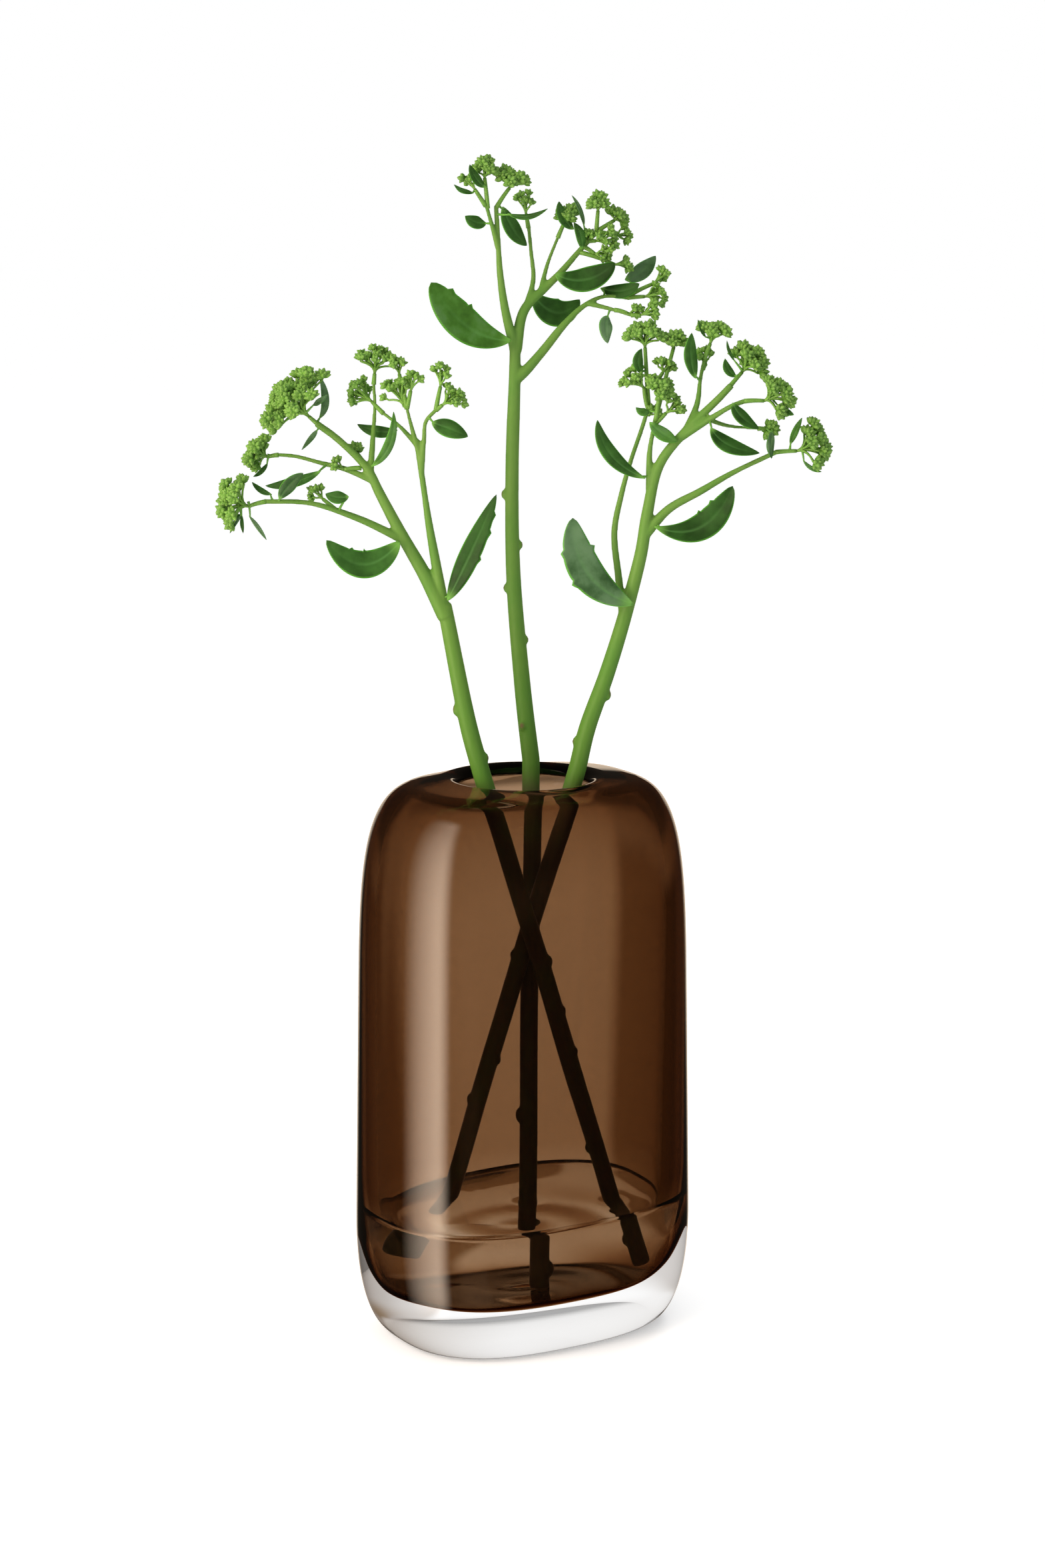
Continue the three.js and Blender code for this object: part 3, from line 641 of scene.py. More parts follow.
def leaf_mesh(name, body, node, wood, base, middle, tip, width, face, teeth=(), thick=1.5, look="green",
              belly=0.95, blunt=0.7):
    """A fleshy leaf curved from base to tip through 'middle', facing 'face'. Each tooth is (side, share). A
    higher belly sets its widest part nearer the tip, and a lower blunt rounds its ends. A short stalk joins
    it to the nearest point of the wood."""
    base, middle, tip = Vector(base), Vector(middle), Vector(tip)
    control = middle * 2 - base * 0.5 - tip * 0.5
    out = Vector(face).normalized()
    rng = random.Random(name)
    wave, phase = rng.uniform(0.15, 0.4), rng.uniform(0, 6)
    vertices = []
    numbers = {"rim": [], "vein": [], "along": []}
    for i in range(LEAF_ROWS + 1):
        u = i / LEAF_ROWS
        point = bezier(base, control, tip, u)
        along = ((control - base) * (1 - u) + (tip - control) * u).normalized()
        across = along.cross(out).normalized()
        normal = across.cross(along).normalized()
        half = 0.05
        if u < 1:
            half = max(0.06, math.sin(math.pi * max(u, 1e-6) ** belly) ** blunt) * (width / 2)
        edge = {-1: half, 1: half}
        for side, share in teeth:
            bite = (u - share) / 0.05
            if -1 < bite < 1:
                edge[side] += width * (TOOTH_OUT * (1 + bite) if bite < 0.25 else -TOOTH_IN * (1 - bite))
        thickness = thick * 0.5 * max(0.28, math.sin(math.pi * u) ** 0.4 if 0 < u < 1 else 0)
        for j in range(2 * LEAF_COLUMNS):
            on_top = j < LEAF_COLUMNS
            v = -1 + 2 * j / LEAF_COLUMNS if on_top else 1 - 2 * (j - LEAF_COLUMNS) / LEAF_COLUMNS
            body_depth = thickness * max(0.0, 1 - abs(v) ** 3.2) ** 0.5
            groove = 0.28 * math.exp(-((v / GROOVE_WIDTH) ** 2)) * math.sin(math.pi * min(1, u * 1.1))
            lift = body_depth - groove if on_top else -body_depth
            curl = CUP * half * v * v + wave * math.sin(u * 9 + phase) * v * v
            vertices.append(point + across * (v * edge[-1 if v < 0 else 1]) + normal * (lift + curl))
            numbers["rim"].append(v * v)
            numbers["vein"].append(math.exp(-((v / VEIN_WIDTH) ** 2)) * (1 - u))
            numbers["along"].append(u)
    faces = [tuple(reversed(f)) for f in ring_faces(LEAF_ROWS + 1, 2 * LEAF_COLUMNS)]
    root = min(wood, key=lambda q: (q - base).length)
    stalk = bow(root, base.lerp(control, 0.12), (control - base) * 0.4 + (base - root), 0.4, 6)
    joined = tube(vertices, faces, stalk, [0.6, 0.45, 0.3], 8)
    for values in numbers.values():
        values += [0.0] * joined
    obj = make_object(name, vertices, faces, LEAF[look], numbers)
    finish_piece(obj, body, node)


# ---------------------------------------------------------------- bud heads
GOLDEN_TURN = 2.39996  # radians from each knot or bud to the next, as plants have
BUD_OUTLINE = ((0.0, 0.30), (0.10, 0.66), (0.28, 0.97), (0.48, 1.0), (0.68, 0.80), (0.86, 0.46), (0.97, 0.16))


class HeadMesh:
    """Collects the buds and stalks of one head into a single mesh."""

    def __init__(self):
        self.vertices, self.faces = [], []
        self.numbers = {"tone": [], "along": []}

    def stalk(self, points, radii, tone, sides=6):
        added = tube(self.vertices, self.faces, points, radii, sides)
        self.numbers["tone"] += [tone] * added
        self.numbers["along"] += [0.58] * added

    def bud(self, base, axis, length, width, tone):
        """A pointed bud of five closed petals, standing on base."""
        first, around = len(self.vertices), 10
        side, up = frame_of(axis)
        for share, size in BUD_OUTLINE:
            for j in range(around):
                a = 2 * math.pi * j / around
                r = 0.5 * width * size * (1 + 0.09 * math.cos(5 * a) * min(1, share * 2.2))
                point = base + axis * (length * share) + side * (r * math.cos(a)) + up * (r * math.sin(a))
                self.vertices.append(point)
                self.numbers["along"].append(share)
                self.numbers["tone"].append(tone)
        self.faces += ring_faces(len(BUD_OUTLINE), around, first)


def full_radius(radius, swell):
    """A head's radius over its buds. Small heads swell more past their CAD solid than big ones."""
    return radius * (1.06 if radius > 11 else 1.2 if radius > 8 else swell) + 1.1


def bud_head(name, body, node, start, centre, axis, radius, height, loose, dark, swell):
    """A corymb: a stalk from the branch fans into rays, and each ray ends in a small dome of buds."""
    rng = random.Random(name)
    start, centre, axis = Vector(start), Vector(centre), Vector(axis).normalized()
    side, up = frame_of(axis)
    neck = centre - axis * ((0.95 if loose else 0.65) * height)
    radius = full_radius(radius, swell)
    mesh = HeadMesh()
    reach = (neck - start).length
    leave = axis if reach < 3 else (neck - start) * 0.6 + axis * reach * 0.2
    mesh.stalk(bow(start, neck, leave, 0.5), [1.0, 0.75], 0.6, 8)
    knots = max(3, round((radius / (2.8 if loose else 3.5)) ** 2))
    dome = radius * (0.88 if loose else 1.08) / math.sqrt(knots)
    spread = radius - 0.6 * dome
    turn0 = rng.uniform(0, 6.28)
    for k in range(knots):
        share = math.sqrt((k + 0.5) / knots)
        turn = turn0 + GOLDEN_TURN * k + rng.uniform(-0.25, 0.25)
        lateral = (side * math.cos(turn) + up * math.sin(turn)) * share * rng.uniform(0.9, 1.06)
        facing = (axis + lateral * 0.8).normalized()
        uneven = rng.uniform(-0.34, 0.12 if loose else 0.1)
        top = centre + lateral * spread + axis * height * (0.58 - 0.36 * share**2 + uneven)
        middle = top - facing * dome
        hub = middle - facing * (2.0 if loose else 1.0)
        mesh.stalk(bow(neck, hub, axis, 0.45), [0.6, 0.42], 0.8 + rng.uniform(-0.15, 0.2))
        s, u = frame_of(facing)
        own = rng.gauss(0, 0.1)
        buds = max(6, round(dome**2 * (0.95 if loose else 1.1)))
        for n in range(buds):
            a = turn + GOLDEN_TURN * n + rng.uniform(-0.2, 0.2)
            tilt = math.radians(84) * math.sqrt((n + 0.4) / buds)
            way = facing * math.cos(tilt) + (s * math.cos(a) + u * math.sin(a)) * math.sin(tilt)
            way = (way + Vector([rng.uniform(-0.12, 0.12) for _ in range(3)])).normalized()
            length, width = rng.uniform(3.2, 4.4), rng.uniform(1.8, 2.5)
            if loose:
                length, width = length * 0.8, width * 0.84
            root = middle + way * (dome * rng.uniform(0.9, 1.1) - length)
            tone = min(1, max(0, rng.gauss(0.55 - dark, 0.2) + own))
            mesh.stalk(bow(hub, root + way * 0.25, facing, 0.4, 4), [0.36, 0.32, 0.44], 0.85, 5)
            mesh.bud(root, way, length, width, tone)
    obj = make_object(name, mesh.vertices, mesh.faces, BUD, mesh.numbers)
    finish_piece(obj, body, node)


# ---------------------------------------------------------------- the sprigs
RIGHT, LEFT, FRONT = 0.0, math.pi, -math.pi / 2


def leaf(base, middle, tip, width, face=(0, -1, 0.3), **shape):
    """What leaf_mesh needs for one leaf. Most face the front and slightly up."""
    return {"base": base, "middle": middle, "tip": tip, "width": width, "face": face, **shape}


def bract(base, middle, tip, width, face=(0, -1, 0.2), thick=0.8, **shape):
    """A small leaf under a head, without a CAD node."""
    return leaf(base, middle, tip, width, face, thick=thick, **shape)


# "dark" and "swell" set the buds' tone and how far small heads spread. "trunk" is the trunk above the rim,
# with the radii along it. A branch is its points and its radii, and a scar its height, side and size. A head
# is its start, centre, axis, radius and height. The "loose" ones are open, as all extra heads are.
LEFT_SPRIG = {
    "dark": 0.0,
    "swell": 1.4,
    "trunk": [(-22.3, -14, 262), (-28, -15.5, 289), (-33, -17, 315)],
    "radii": [3.8, 3.7, 3.5, 3.3, 3.1],
    "branches": [
        ([(-32, -16.8, 310), (-40.4, -18, 327), (-49.8, -20, 344), (-59, -22, 362), (-63.4, -22, 371),
            (-75.4, -24, 383.5), (-84, -25, 390)], [2.9, 2.5, 2.1, 1.5]),
        ([(-60.5, -22, 366), (-72, -22, 371), (-83, -20, 373.6), (-93, -18, 376), (-101, -17.2, 376.6)],
            [1.2, 0.9]),
        ([(-48.5, -19.8, 341.5), (-58.4, -23, 347), (-67.7, -26, 351.6), (-86.3, -32, 358.3),
            (-105, -36, 359.5)], [1.5, 1.1]),
        ([(-32.5, -16.8, 312), (-36, -19, 332.5), (-38.6, -21, 348.4), (-41, -23, 366), (-43.4, -25, 383.5)],
            [2, 1.3]),
        ([(-43, -24.8, 381), (-51, -22, 389.2), (-57.5, -19.5, 394)], [1, 0.8]),
        ([(-43.4, -25, 381), (-45.8, -26, 390.4), (-47.4, -25.6, 397)], [1, 0.8]),
        ([(-41.6, -23.4, 370), (-40.3, -26, 384), (-39.5, -27.4, 391), (-35, -28, 396)], [1.1, 0.9]),
        ([(-62.4, -22, 369), (-61.4, -19.4, 383), (-60.6, -17, 396), (-61, -16, 406)], [1.2, 0.8]),
    ],
    "scars": [(269.8, LEFT, 1.5), (251.3, RIGHT, 1.3), (161, RIGHT, 1.2), (141, RIGHT, 0.9),
        (121, RIGHT, 0.9), (80, LEFT, 1.1), (38, LEFT, 1.3)],
    "leaves": {
        "lower_hanging": leaf((-50.6, -25, 341.8), (-65.4, -27.5, 332.7), (-80.1, -30, 343), 11.6,
            (0.1, -1, 0.35), teeth=((1, 0.48), (1, 0.76)), blunt=0.6),
        "fork_upright": leaf((-31.2, -21.6, 317.2), (-21.5, -26, 337), (-11, -28, 361.4), 9,
            (-0.25, -1, 0.15), teeth=((1, 0.5), (1, 0.72), (1, 0.86)), look="deep"),
        "inner_flat": leaf((-51.5, -15.5, 386.5), (-59.5, -14, 385.6), (-68, -12, 388.6), 5),
        "inner_curved": leaf((-61.5, -26.5, 372.8), (-54.4, -30, 382), (-52.4, -31.5, 395.2), 4.2,
            (0.3, -1, 0.2), look="bright"),
        "inner_right": leaf((-37, -31, 390.8), (-30, -32.5, 388.4), (-22.4, -34, 385.4), 7.4),
        "low_branch_pale": leaf((-98.5, -37.6, 360.5), (-94.4, -38.6, 366.3), (-88.6, -40, 371.2), 5.6,
            (0.2, -1, 0.1), look="grey"),
        "low_branch_long": leaf((-82.2, -28, 371), (-93.5, -27.4, 366.2), (-104.9, -26, 364.8), 4.4),
        "low_branch_oval": leaf((-70.8, -32.4, 361.1), (-75.5, -32, 360.6), (-80.2, -31, 362), 5.4),
    },
    "bracts": {
        "dome_back": bract((-83, -22, 391.7), (-80.5, -21, 399.1), (-82.9, -20, 408.8), 3.4, (0.3, -1, 0),
            thick=1, look="grey"),
        "dome_front": bract((-85.2, -28, 397.5), (-82.4, -29.6, 399.2), (-79.1, -31, 402), 2.4, thick=1,
            look="grey"),
        "main_under": bract((-83.6, -26, 387.4), (-85.9, -27, 384.3), (-89.9, -28, 379.5), 2.2, look="grey"),
        "mid_under": bract((-104.5, -18, 373.4), (-106.9, -19, 370), (-110.3, -20, 367.9), 2),
        "low_back": bract((-102, -30, 361.6), (-106.4, -29.2, 363.2), (-110.2, -28, 366.5), 2.4),
        "low_tip_a": bract((-114, -35, 354), (-117, -34.6, 353.2), (-120, -34, 353), 1.8),
        "low_tip_b": bract((-114, -35, 354), (-116.8, -34.6, 350.4), (-119, -34, 346.3), 1.8, look="grey"),
        "low_tip_c": bract((-114, -35, 354), (-113.9, -35.2, 350.2), (-113.5, -35, 346.4), 1.6),
        "low_tip_d": bract((-111, -35.4, 353.6), (-107.4, -36, 349), (-104, -36, 343.8), 1.8, look="grey"),
    },
    "heads": {
        "main_dome": ((-82.5, -24.8, 388.8), (-94, -26, 399.5), (-0.72, -0.1, 0.69), 18.5, 15),
        "mid_left": ((-100, -17.4, 376.5), (-110, -17, 377.5), (-0.93, 0, 0.3), 7.4, 9),
        "low_left": ((-104, -35.9, 359.4), (-118.5, -37, 359.5), (-0.93, -0.1, 0.25), 12, 12),
        "bract_small": ((-63.4, -21.6, 371), (-69.2, -16.5, 380.6), (-0.3, 0.25, 0.9), 3.2, 5),
        "low_small": ((-76.2, -28.8, 355.2), (-85.4, -26, 363.4), (-0.6, 0.2, 0.6), 3.7, 6),
        "twin_left": ((-57, -19.7, 393.6), (-67.6, -13.6, 402), (-0.75, 0.35, 0.5), 6.2, 8),
        "twin_top": ((-61, -16, 405), (-60, -15.5, 417), (0.08, 0, 1), 7.6, 8),
        "twin_middle": ((-47.2, -25.6, 396), (-51.4, -23, 404.5), (-0.35, 0.1, 0.9), 6, 8.5),
        "twin_right": ((-35.4, -28, 395.5), (-33.2, -27.5, 411.6), (0.05, 0, 1), 4.2, 7),
        "far_right": ((-35.4, -28, 395.5), (-27.4, -28.6, 401.6), (0.75, 0, 0.55), 5.6, 7),
    },
    "loose": ("twin_left", "twin_top", "twin_middle", "twin_right", "far_right", "low_small"),
    "extra_heads": {
        "small_high": ((-66, -22.4, 371.6), (-77.1, -24, 373.7), (-0.8, 0, 0.5), 3.2, 5),
        "twin_upper": ((-47.2, -25.6, 396), (-50.9, -22, 415.3), (-0.1, 0, 1), 3.8, 6),
        "twin_inner": ((-47.2, -25.6, 396), (-44, -26, 408.6), (0.3, 0, 1), 3.6, 6),
    },
}

CENTRE_SPRIG = {
    "dark": 0.12,
    "swell": 1.45,
    "trunk": [(-0.4, 18, 277), (-4.2, 21, 320), (-4.9, 24, 368), (-3.6, 27, 409), (-3.4, 27.6, 420)],
    "radii": [3.8, 3.5, 3.2, 2.9, 2.8, 2.3],
    "branches": [
        ([(-3.5, 26.6, 404), (0.6, 26.6, 407.5), (8, 27.5, 415.8), (17.2, 29, 427), (25.3, 31, 434.5),
            (33.4, 32, 438.3), (45, 34, 437.6)], [2, 1.8, 1.3, 0.9]),
        ([(27, 31.2, 435.6), (38.1, 29, 432.9), (46.2, 27, 430.4)], [1, 0.8]),
        ([(-3.4, 27.4, 416), (-7.6, 25, 433), (-9.8, 23, 449), (-10.6, 22, 463), (-11.4, 22, 476.5)],
            [1.9, 1.5, 1.1]),
        ([(-10.5, 22, 459), (-13, 20, 468), (-15.6, 18, 477)], [1.1, 0.9]),
        ([(-3.4, 27.4, 416), (0.4, 30, 432.9), (9.1, 33, 441.9), (15, 34, 447.6), (23.1, 36, 456.7),
            (31.2, 38, 465.7)], [2.2, 1.9, 1.5, 1.2]),
        ([(7, 32.4, 440), (10.2, 35.4, 452), (14.6, 38, 463)], [1, 0.8]),
        ([(1, 30.2, 434), (4.1, 33, 445.2), (3.2, 36, 456.7), (2.1, 38, 467.9)], [1.1, 0.9]),
    ],
    "scars": [(355, LEFT, 1.1), (333.6, RIGHT, 1.0), (316.3, LEFT, 1.1), (293.7, RIGHT, 1.0),
        (257.6, FRONT - 0.5, 1.3), (92, LEFT, 1.5), (30, RIGHT, 1.6)],
    "leaves": {
        "big_left": leaf((-5.2, 21.5, 420.6), (-23.4, 18.6, 426.5), (-38.2, 14, 444.9), 15, (0.15, -1, 0.3),
            teeth=((1, 0.62), (1, 0.86)), belly=1.3, blunt=0.55, look="bright"),
        "big_right": leaf((13.4, 29.6, 447.6), (26, 28.6, 445.3), (38, 26.6, 452.4), 10.6, (0, -1, 0.35),
            belly=1.1, blunt=0.55, look="deep"),
        "behind_fork": leaf((3.6, 40.4, 439.3), (14, 42.4, 431), (23.8, 44, 436.6), 12, (0, -1, 0.2)),
        "grey_right": leaf((42.8, 41, 444.9), (50, 43, 448.5), (55.8, 44.6, 454.8), 7, (0.2, -1, 0.2),
            look="grey"),
        "hanging": leaf((35.4, 26.6, 430.6), (34.2, 25, 426), (35.3, 23.4, 419.4), 6, (0.3, -1, 0),
            look="grey"),
        "paddle_left": leaf((-15.4, 21.8, 469), (-20, 20, 469.3), (-24.1, 17.6, 472), 5.6),
        "behind_top": leaf((-8.6, 29.4, 475.5), (-4.6, 31, 466.4), (1.4, 32, 459.4), 7, (0.2, -1, 0.1)),
        "bract_top": leaf((-6.6, 17.6, 473), (1.4, 15.6, 471.6), (10, 13.6, 475), 2.6, (0, -1, 0.4), thick=1),
    },
    "bracts": {
        "right_under": bract((32.4, 36, 441.7), (40.8, 33, 440.4), (48.5, 30, 443.8), 6.4, (0, -1, 0.3),
            thick=1.5, belly=1.1, blunt=0.6, look="deep"),
        "over_head": bract((21.1, 36, 466.1), (16.6, 35.4, 471), (14.9, 35, 477.6), 5, (0.2, -1, 0.1),
            thick=1.5),
        "head_thin": bract((25.3, 36, 467.2), (23.8, 36, 473.8), (20.2, 36, 480.1), 2, (0.2, -1, 0),
            thick=0.9, look="grey"),
        "below_head": bract((24.4, 33, 457.9), (23.8, 33.4, 463.6), (21.1, 34, 468.9), 4.2, (0.2, -1, 0.1),
            thick=1.5),
        "top_leaf": bract((-15.5, 12, 483.7), (-19.6, 11.2, 487.4), (-22, 10, 492.9), 4, (0.2, -1, 0.1),
            thick=1),
        "top_thin": bract((-20.4, 14, 481.5), (-24.8, 13, 482.2), (-28.6, 12, 484.8), 2.2, (0, -1, 0.3),
            thick=1),
    },
    "heads": {
        "top_left": ((-14.8, 18.4, 475), (-16, 16.6, 492.6), (0, 0, 1), 5, 8),
        "top": ((-11.4, 22, 475), (-4.4, 22.6, 488.4), (0.25, 0, 0.95), 6.8, 8),
        "twig_top": ((2.1, 38, 466.5), (0.4, 38.4, 479), (-0.1, 0, 1), 4.2, 7),
        "mid": ((14.4, 38, 462.4), (18.4, 38.4, 473.4), (0.25, 0, 1), 4.8, 7),
        "right_top": ((30.6, 37.8, 465), (31.2, 35.4, 478.6), (0, -0.1, 1), 4.8, 7.5),
        "right_tip": ((30.6, 37.8, 465), (41.6, 41, 472.4), (0.75, 0.2, 0.6), 4.6, 7),
        "right_low": ((27, 37, 461.2), (36.6, 33.6, 462), (0.8, -0.45, 0.1), 5.4, 7.5),
        "far_high": ((43, 33.7, 437.8), (58.8, 37, 448), (0.6, 0.1, 0.7), 3.7, 6),
        "far_mid": ((43.6, 33.8, 437.8), (57, 33.8, 439.2), (0.97, 0, 0.15), 4.8, 6.5),
        "far_low": ((45, 27.3, 430.8), (55, 26.6, 432.6), (0.95, 0, 0.25), 4.2, 6.5),
    },
    "loose": ("twig_top", "far_high", "far_mid", "far_low", "right_low"),
    "extra_heads": {
        "left_low": ((-15.6, 18, 476), (-22.9, 15, 487.7), (-0.5, 0, 0.85), 3.6, 6),
        "right_inner": ((23.1, 36, 456.7), (43.5, 36, 452), (0.95, 0, 0.1), 3.6, 5.5),
        "right_outer": ((31.2, 37.8, 465), (44, 41, 464), (0.9, 0.1, 0.1), 4, 6),
        "right_fork": ((23.1, 36, 456.7), (27.7, 37, 465), (0.3, 0, 1), 3.2, 5),
        "right_below": ((25, 36, 459), (34.5, 35, 455.5), (0.9, -0.1, -0.1), 3.4, 5),
        "low_inner": ((38.1, 29, 432.9), (48.1, 28, 433.8), (0.8, 0, 0.5), 3.2, 5),
    },
}

RIGHT_SPRIG = {
    "dark": 0.06,
    "swell": 1.6,
    "trunk": [(26.6, -4, 261), (34.6, -5.5, 284.4), (43, -8, 312), (48.8, -10.5, 335.6), (51, -12.4, 352),
        (55.8, -14, 372.2), (66.5, -16, 386.3), (79.3, -18, 399.2), (84.7, -18, 405)],
    "radii": [3.8, 3.5, 3.2, 2.9, 2.6, 2.2, 1.8, 1.4],
    "branches": [
        ([(41.6, -7.6, 307), (39.4, -7, 325), (37.6, -6, 343.6), (40.3, -5, 358.4), (44.1, -5, 372.5),
            (48.7, -5, 386.2), (51.6, -6, 396)], [1.5, 1.3, 1]),
        ([(51.8, -13, 362), (51.7, -14, 377.8), (54, -15, 391)], [1.4, 1]),
        ([(49.6, -11.6, 342.5), (59.6, -13, 353.8), (72.6, -14, 361.3), (85.3, -15, 368.8),
            (104, -16.8, 378)], [1.8, 1.5, 1.1]),
        ([(64, -15.6, 383.5), (75.6, -19, 391.1), (84.6, -22, 396.8), (90, -23.4, 399)], [1.5, 1.1]),
        ([(75.6, -18.8, 391), (83, -15, 388.3), (96.6, -10.4, 386.6)], [0.9, 0.7]),
        ([(66, -16, 385.6), (70.8, -15, 397), (72.2, -13, 407.2), (74, -12, 416)], [1.3, 0.9]),
    ],
    "scars": [(274.4, RIGHT, 1.4), (254.5, LEFT, 1.2), (161, LEFT, 1.0), (117, RIGHT, 1.0), (97, LEFT, 1.1)],
    "leaves": {
        "big_lower": leaf((45.2, -14.4, 314.6), (26.2, -17.6, 328), (20.2, -20, 351), 14.4, (0.2, -1, 0.2),
            teeth=((1, 0.72), (-1, 0.5), (-1, 0.76)), belly=1.12, blunt=0.58, look="grey"),
        "upright_left": leaf((49.8, -18, 367), (35.8, -18.6, 376.3), (30.1, -20, 390.9), 6.6, (0.2, -1, 0.2),
            belly=1.05),
        "big_right": leaf((53.8, -17.6, 347.2), (72.6, -19, 347), (85.4, -21, 364.2), 11.6, (-0.1, -1, 0.3),
            teeth=((-1, 0.6), (-1, 0.8)), belly=1.3, blunt=0.6, look="deep"),
        "mid_right": leaf((76.1, -22.6, 388), (83.2, -23.4, 381.1), (95.9, -25, 378), 6.6, look="deep"),
        "short_right": leaf((84.6, -26, 398.4), (88.4, -28, 392.6), (95.2, -30, 388.3), 5.4, look="deep"),
        "upright_mid": leaf((70, -17.4, 407.6), (67.8, -17.6, 416.6), (68.2, -18.4, 426), 5.6, (0.2, -1, 0)),
        "hanging": leaf((101.4, -17.5, 386.6), (100.6, -19.5, 381), (101, -21.5, 375.4), 3.4, (0.2, -1, 0),
            look="grey"),
    },
    "bracts": {
        "left_head": bract((48.6, -12, 409.3), (46.6, -13, 414.2), (48.2, -14, 419.4), 4.4, (0.1, -1, 0.1),
            thick=1.5),
        "dome_left": bract((86.8, -14, 408.1), (83.2, -15, 411), (82, -16, 415.5), 3.6, (0.2, -1, 0.1),
            thick=1.5),
        "below_dome": bract((103.2, -18, 397), (106.6, -20, 394.4), (109.8, -22, 393.3), 3, (0, -1, 0.3),
            thick=1, look="bright"),
        "fork_leaf": bract((51.4, -17, 389.8), (57, -18, 384.9), (62.9, -19.6, 382.4), 5.6, (0, -1, 0.3),
            thick=1.5, look="bright"),
        "end_up": bract((108.8, -18, 380.8), (110.7, -18.6, 386), (113.4, -19, 391.8), 2.8, look="bright"),
        "end_down": bract((114.1, -18, 374.5), (117.6, -19, 371.2), (121.6, -20, 369.9), 1.8, look="bright"),
        "dome_thin": bract((86, -17, 414.4), (83.6, -17, 418.5), (82.6, -17, 422.9), 1.4),
        "upper_thin": bract((74.4, -14, 423.8), (72.3, -14, 427), (70.9, -14, 431.2), 1.4),
        "left_small": bract((51.7, -12, 394.4), (48.8, -13.4, 393.6), (45.9, -14, 395.6), 3.4, (0, -1, 0.3),
            thick=1.5, look="bright"),
    },
    "heads": {
        "big_right": ((103, -16.7, 377.6), (119.4, -17, 380.4), (0.95, 0, 0.28), 12, 12.5),
        "upper": ((73.8, -12.1, 415), (77.6, -12, 427), (0.25, 0, 0.95), 5.4, 9),
        "dome_high": ((83.6, -18, 404), (93, -13.4, 415.8), (0.55, 0.15, 0.82), 9, 11),
        "dome_low": ((89.4, -23.2, 398.8), (104, -23.6, 402), (0.85, -0.05, 0.4), 9.6, 11),
        "twig_small": ((96, -10.6, 386.7), (103, -9.4, 386.8), (1, 0, 0.1), 3.4, 5),
        "left_top": ((51.4, -6, 395), (49, -9.6, 426), (-0.1, 0, 1), 6.8, 10),
        "left_high": ((53.6, -14.9, 389), (62, -9, 424), (0.15, 0.1, 1), 4, 6.5),
        "left_mid": ((51.4, -6, 394), (44.6, -10, 407.6), (-0.7, -0.2, 0.65), 4.8, 7),
        "left_front": ((54, -15, 390), (55.6, -18.6, 405), (0.1, -0.25, 0.95), 5.4, 8),
        "left_low": ((53.8, -14.9, 389), (63, -15, 396.4), (0.8, 0, 0.5), 4, 6),
    },
    "loose": ("left_mid", "left_low"),
    "extra_heads": {
        "upper_low": ((73.2, -12.4, 411), (73.1, -9, 417.2), (-0.3, 0.3, 0.9), 3.2, 5),
        "left_bridge": ((53.6, -10, 404), (58.2, -12, 414), (0.3, -0.1, 1), 3.8, 5),
        "left_knot": ((51.6, -6, 393), (54.1, -6, 394.7), (0.6, -0.2, 0.7), 3, 4.5),
    },
}

SPRIGS = {"left": LEFT_SPRIG, "centre": CENTRE_SPRIG, "right": RIGHT_SPRIG}


def wood_points(side, sprig):
    """Points along the middle of the trunk, the branches and the heads' stalks."""
    lines = [[on_axis(side, VASE_HEIGHT + 4), *sprig["trunk"]]] + [points for points, _ in sprig["branches"]]
    for start, centre, *_ in [*sprig["heads"].values(), *sprig["extra_heads"].values()]:
        lines.append([start, Vector(start).lerp(Vector(centre), 0.7)])
    return [p for line in lines for p, _ in curve_points(line, 1)]


def build_sprig(side, sprig):
    body = f"{side}_sprig"
    wood = wood_points(side, sprig)
    tones = sprig["dark"], sprig["swell"]
    stem_mesh(side, sprig["trunk"], sprig["radii"], sprig["branches"], sprig["scars"])
    for name, shape in sprig["leaves"].items():
        leaf_mesh(f"{side}_blade_{name}", body, f"{side}_leaf_{name}", wood, **shape)
    for name, shape in sprig["bracts"].items():
        leaf_mesh(f"{side}_bract_{name}", body, None, wood, **shape)
    for name, shape in sprig["heads"].items():
        loose = name in sprig["loose"]
        bud_head(f"{side}_cluster_{name}", body, f"{side}_buds_{name}", *shape, loose, *tones)
    for name, shape in sprig["extra_heads"].items():
        bud_head(f"{side}_cluster_{name}", body, None, *shape, True, *tones)


# ---------------------------------------------------------------- studio
CAMERA_PITCH = 0.189
CAMERA_REACH = 1.418
CAMERA_TARGET = Vector((-0.0004, 0, 0.2364))


def add_camera():
    data = bpy.data.cameras.new("camera")
    data.sensor_fit = "VERTICAL"
    data.sensor_width, data.sensor_height = 24, 36
    data.lens = 77.3
    data.clip_start, data.clip_end = 0.05, 30
    camera = bpy.data.objects.new("camera", data)
    back = Vector((0, -math.cos(CAMERA_PITCH), math.sin(CAMERA_PITCH)))
    camera.location = CAMERA_TARGET + back * CAMERA_REACH
    camera.rotation_euler = (math.pi / 2 - CAMERA_PITCH, 0, 0)
    bpy.context.scene.collection.objects.link(camera)
    bpy.context.scene.camera = camera


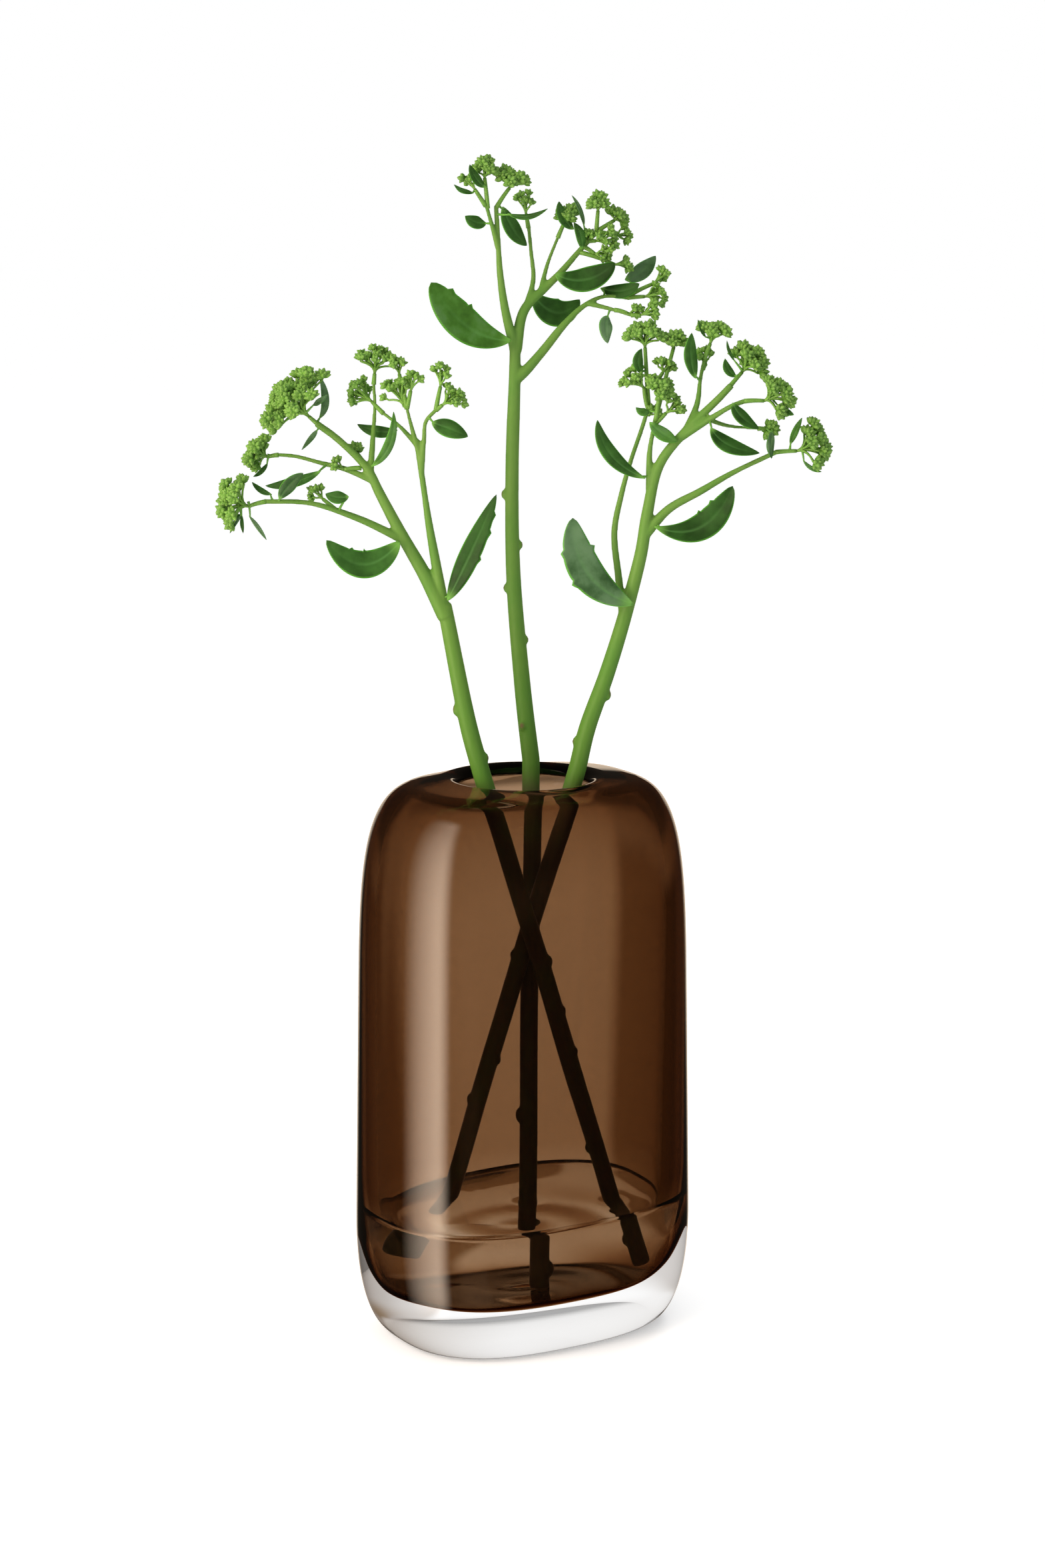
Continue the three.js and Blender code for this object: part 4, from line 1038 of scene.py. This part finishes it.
def add_floor():
    """A plain white floor that glows a little, as a light table does. Mirrored and refracted rays pass it."""
    size, drop = 12 / MM, 0.4
    vertices = [(-size, -size, -drop), (size, -size, -drop), (size, size, -drop), (-size, size, -drop)]
    material, tree, shader, _ = new_material("floor")
    feed(tree, shader, {
        "Base Color": (0.8, 0.8, 0.8),
        "Roughness": 0.9,
        "Specular IOR Level": 0.0,
        "Emission Color": (1, 1, 1),
        "Emission Strength": 0.4,
    })
    floor = make_object("floor", vertices, [(0, 1, 2, 3)], material)
    floor.visible_glossy = False
    floor.visible_transmission = False


def add_card(name, azimuth, reach, width, low, high, strength, colour, soft):
    """A soft light panel facing the vase, faded towards its edges. It lights the plants and shows in
    reflections, but not to the eye or through glass."""
    a = math.radians(azimuth)
    centre = Vector((math.cos(a), math.sin(a), 0)) * reach
    across = Vector((-math.sin(a), math.cos(a), 0)) * (width / 2)
    spots = ((-1, low), (1, low), (1, high), (-1, high))
    corners = [(centre + across * sign + UP * z) / MM for sign, z in spots]
    material, tree, shader, output = new_material(name)
    tree.nodes.remove(shader)
    panel = make_object(name, corners, [(0, 1, 2, 3)], material)
    uv = panel.data.uv_layers.new(name="panel")
    for loop, corner in zip(uv.data, ((0, 0), (1, 0), (1, 1), (0, 1))):
        loop.uv = corner
    u, v, _ = axes_of(tree, new_node(tree, "TexCoord").outputs["UV"])
    fades = [
        ramp(tree, u, 0, soft[0]),
        ramp(tree, u, 1 - soft[1], 1, 1, 0),
        ramp(tree, v, 0, 0.15),
        ramp(tree, v, 0.35, 0.8, 1, 0.45),
        ramp(tree, v, 0.8, 1, 1, 0),
    ]
    glow = strength
    for fade in fades:
        glow = maths(tree, "MULTIPLY", fade, glow)
    light = new_node(tree, "Emission", Color=colour, Strength=glow)
    link(tree, light.outputs[0], output.inputs["Surface"])
    panel.visible_camera = panel.visible_transmission = panel.visible_shadow = False


def add_area(name, location, target, size, power):
    """A square lamp that lights the plants and the floor and shows nowhere else."""
    data = bpy.data.lights.new(name, "AREA")
    data.shape = "RECTANGLE"
    data.size, data.size_y, data.energy = size, size, power
    lamp = bpy.data.objects.new(name, data)
    lamp.location = location
    lamp.rotation_euler = (Vector(target) - Vector(location)).to_track_quat("-Z", "Y").to_euler()
    lamp.visible_glossy = lamp.visible_transmission = False
    bpy.context.scene.collection.objects.link(lamp)


def add_world():
    """White all round for the eye. Light that comes through glass is white from behind and below and fades
    to the sides, as in front of a lit backdrop, and mirrored light comes from a dark room."""
    world = bpy.data.worlds.new("studio")
    bpy.context.scene.world = world
    world.use_nodes = True
    tree = world.node_tree
    ray = new_node(tree, "LightPath").outputs
    x, y, height = axes_of(tree, new_node(tree, "TexCoord").outputs["Generated"])

    left = maths(tree, "MULTIPLY", x, -1.0)
    aside = maths(tree, "MAXIMUM", ramp(tree, x, 0.07, 0.115), ramp(tree, left, 0.16, 0.32))
    warm = mix_colour(tree, ramp(tree, x, 0.35, 0.6), (0.44, 0.33, 0.22), (0.22, 0.15, 0.07))
    dim = mix_colour(tree, ramp(tree, height, -0.24, -0.18), warm, (0.74, 0.71, 0.69))
    through = mix_colour(tree, aside, (1, 1, 1), dim)
    tint = mix_colour(tree, ray["Is Glossy Ray"], (1, 1, 1), (1, 0.8, 0.6))
    colour = mix_colour(tree, ray["Is Transmission Ray"], tint, through)

    level_up = ramp(tree, height, -0.13, -0.02, 1.0, 0.42)
    upward = maths(tree, "MULTIPLY", level_up, ramp(tree, height, 0.35, 0.8, 1.0, 0.5))
    behind, low = ramp(tree, y, 0.85, 0.95), ramp(tree, height, 0.05, 0.1, 1.0, 0.0)
    mirrored = maths(tree, "ADD", maths(tree, "MULTIPLY", behind, low), 0.03)
    level = mix_value(tree, ray["Is Glossy Ray"], 0.75, mirrored)
    level = mix_value(tree, ray["Is Transmission Ray"], level, upward)
    level = mix_value(tree, ray["Is Camera Ray"], level, 1.0)
    feed(tree, tree.nodes["Background"], {"Color": colour, "Strength": level})


add_camera()
add_floor()
add_world()
add_card("soft_panel", -144, 0.9, 1.25, -0.85, 1.5, 9.0, (1, 0.80, 0.62), (0.85, 0.3))
add_area("key", (-0.9, -0.7, 1.1), (0, 0, 0.35), 0.7, 9)
add_area("back_rim", (0.5, 0.9, 0.9), (0, 0, 0.4), 0.5, 6)
bpy.context.scene.view_settings.view_transform = "Standard"
bpy.context.scene.cycles.max_bounces = 32
bpy.context.scene.cycles.transmission_bounces = 32

glass_body()
amber_layer()
water_fill()
for side, sprig in SPRIGS.items():
    build_sprig(side, sprig)
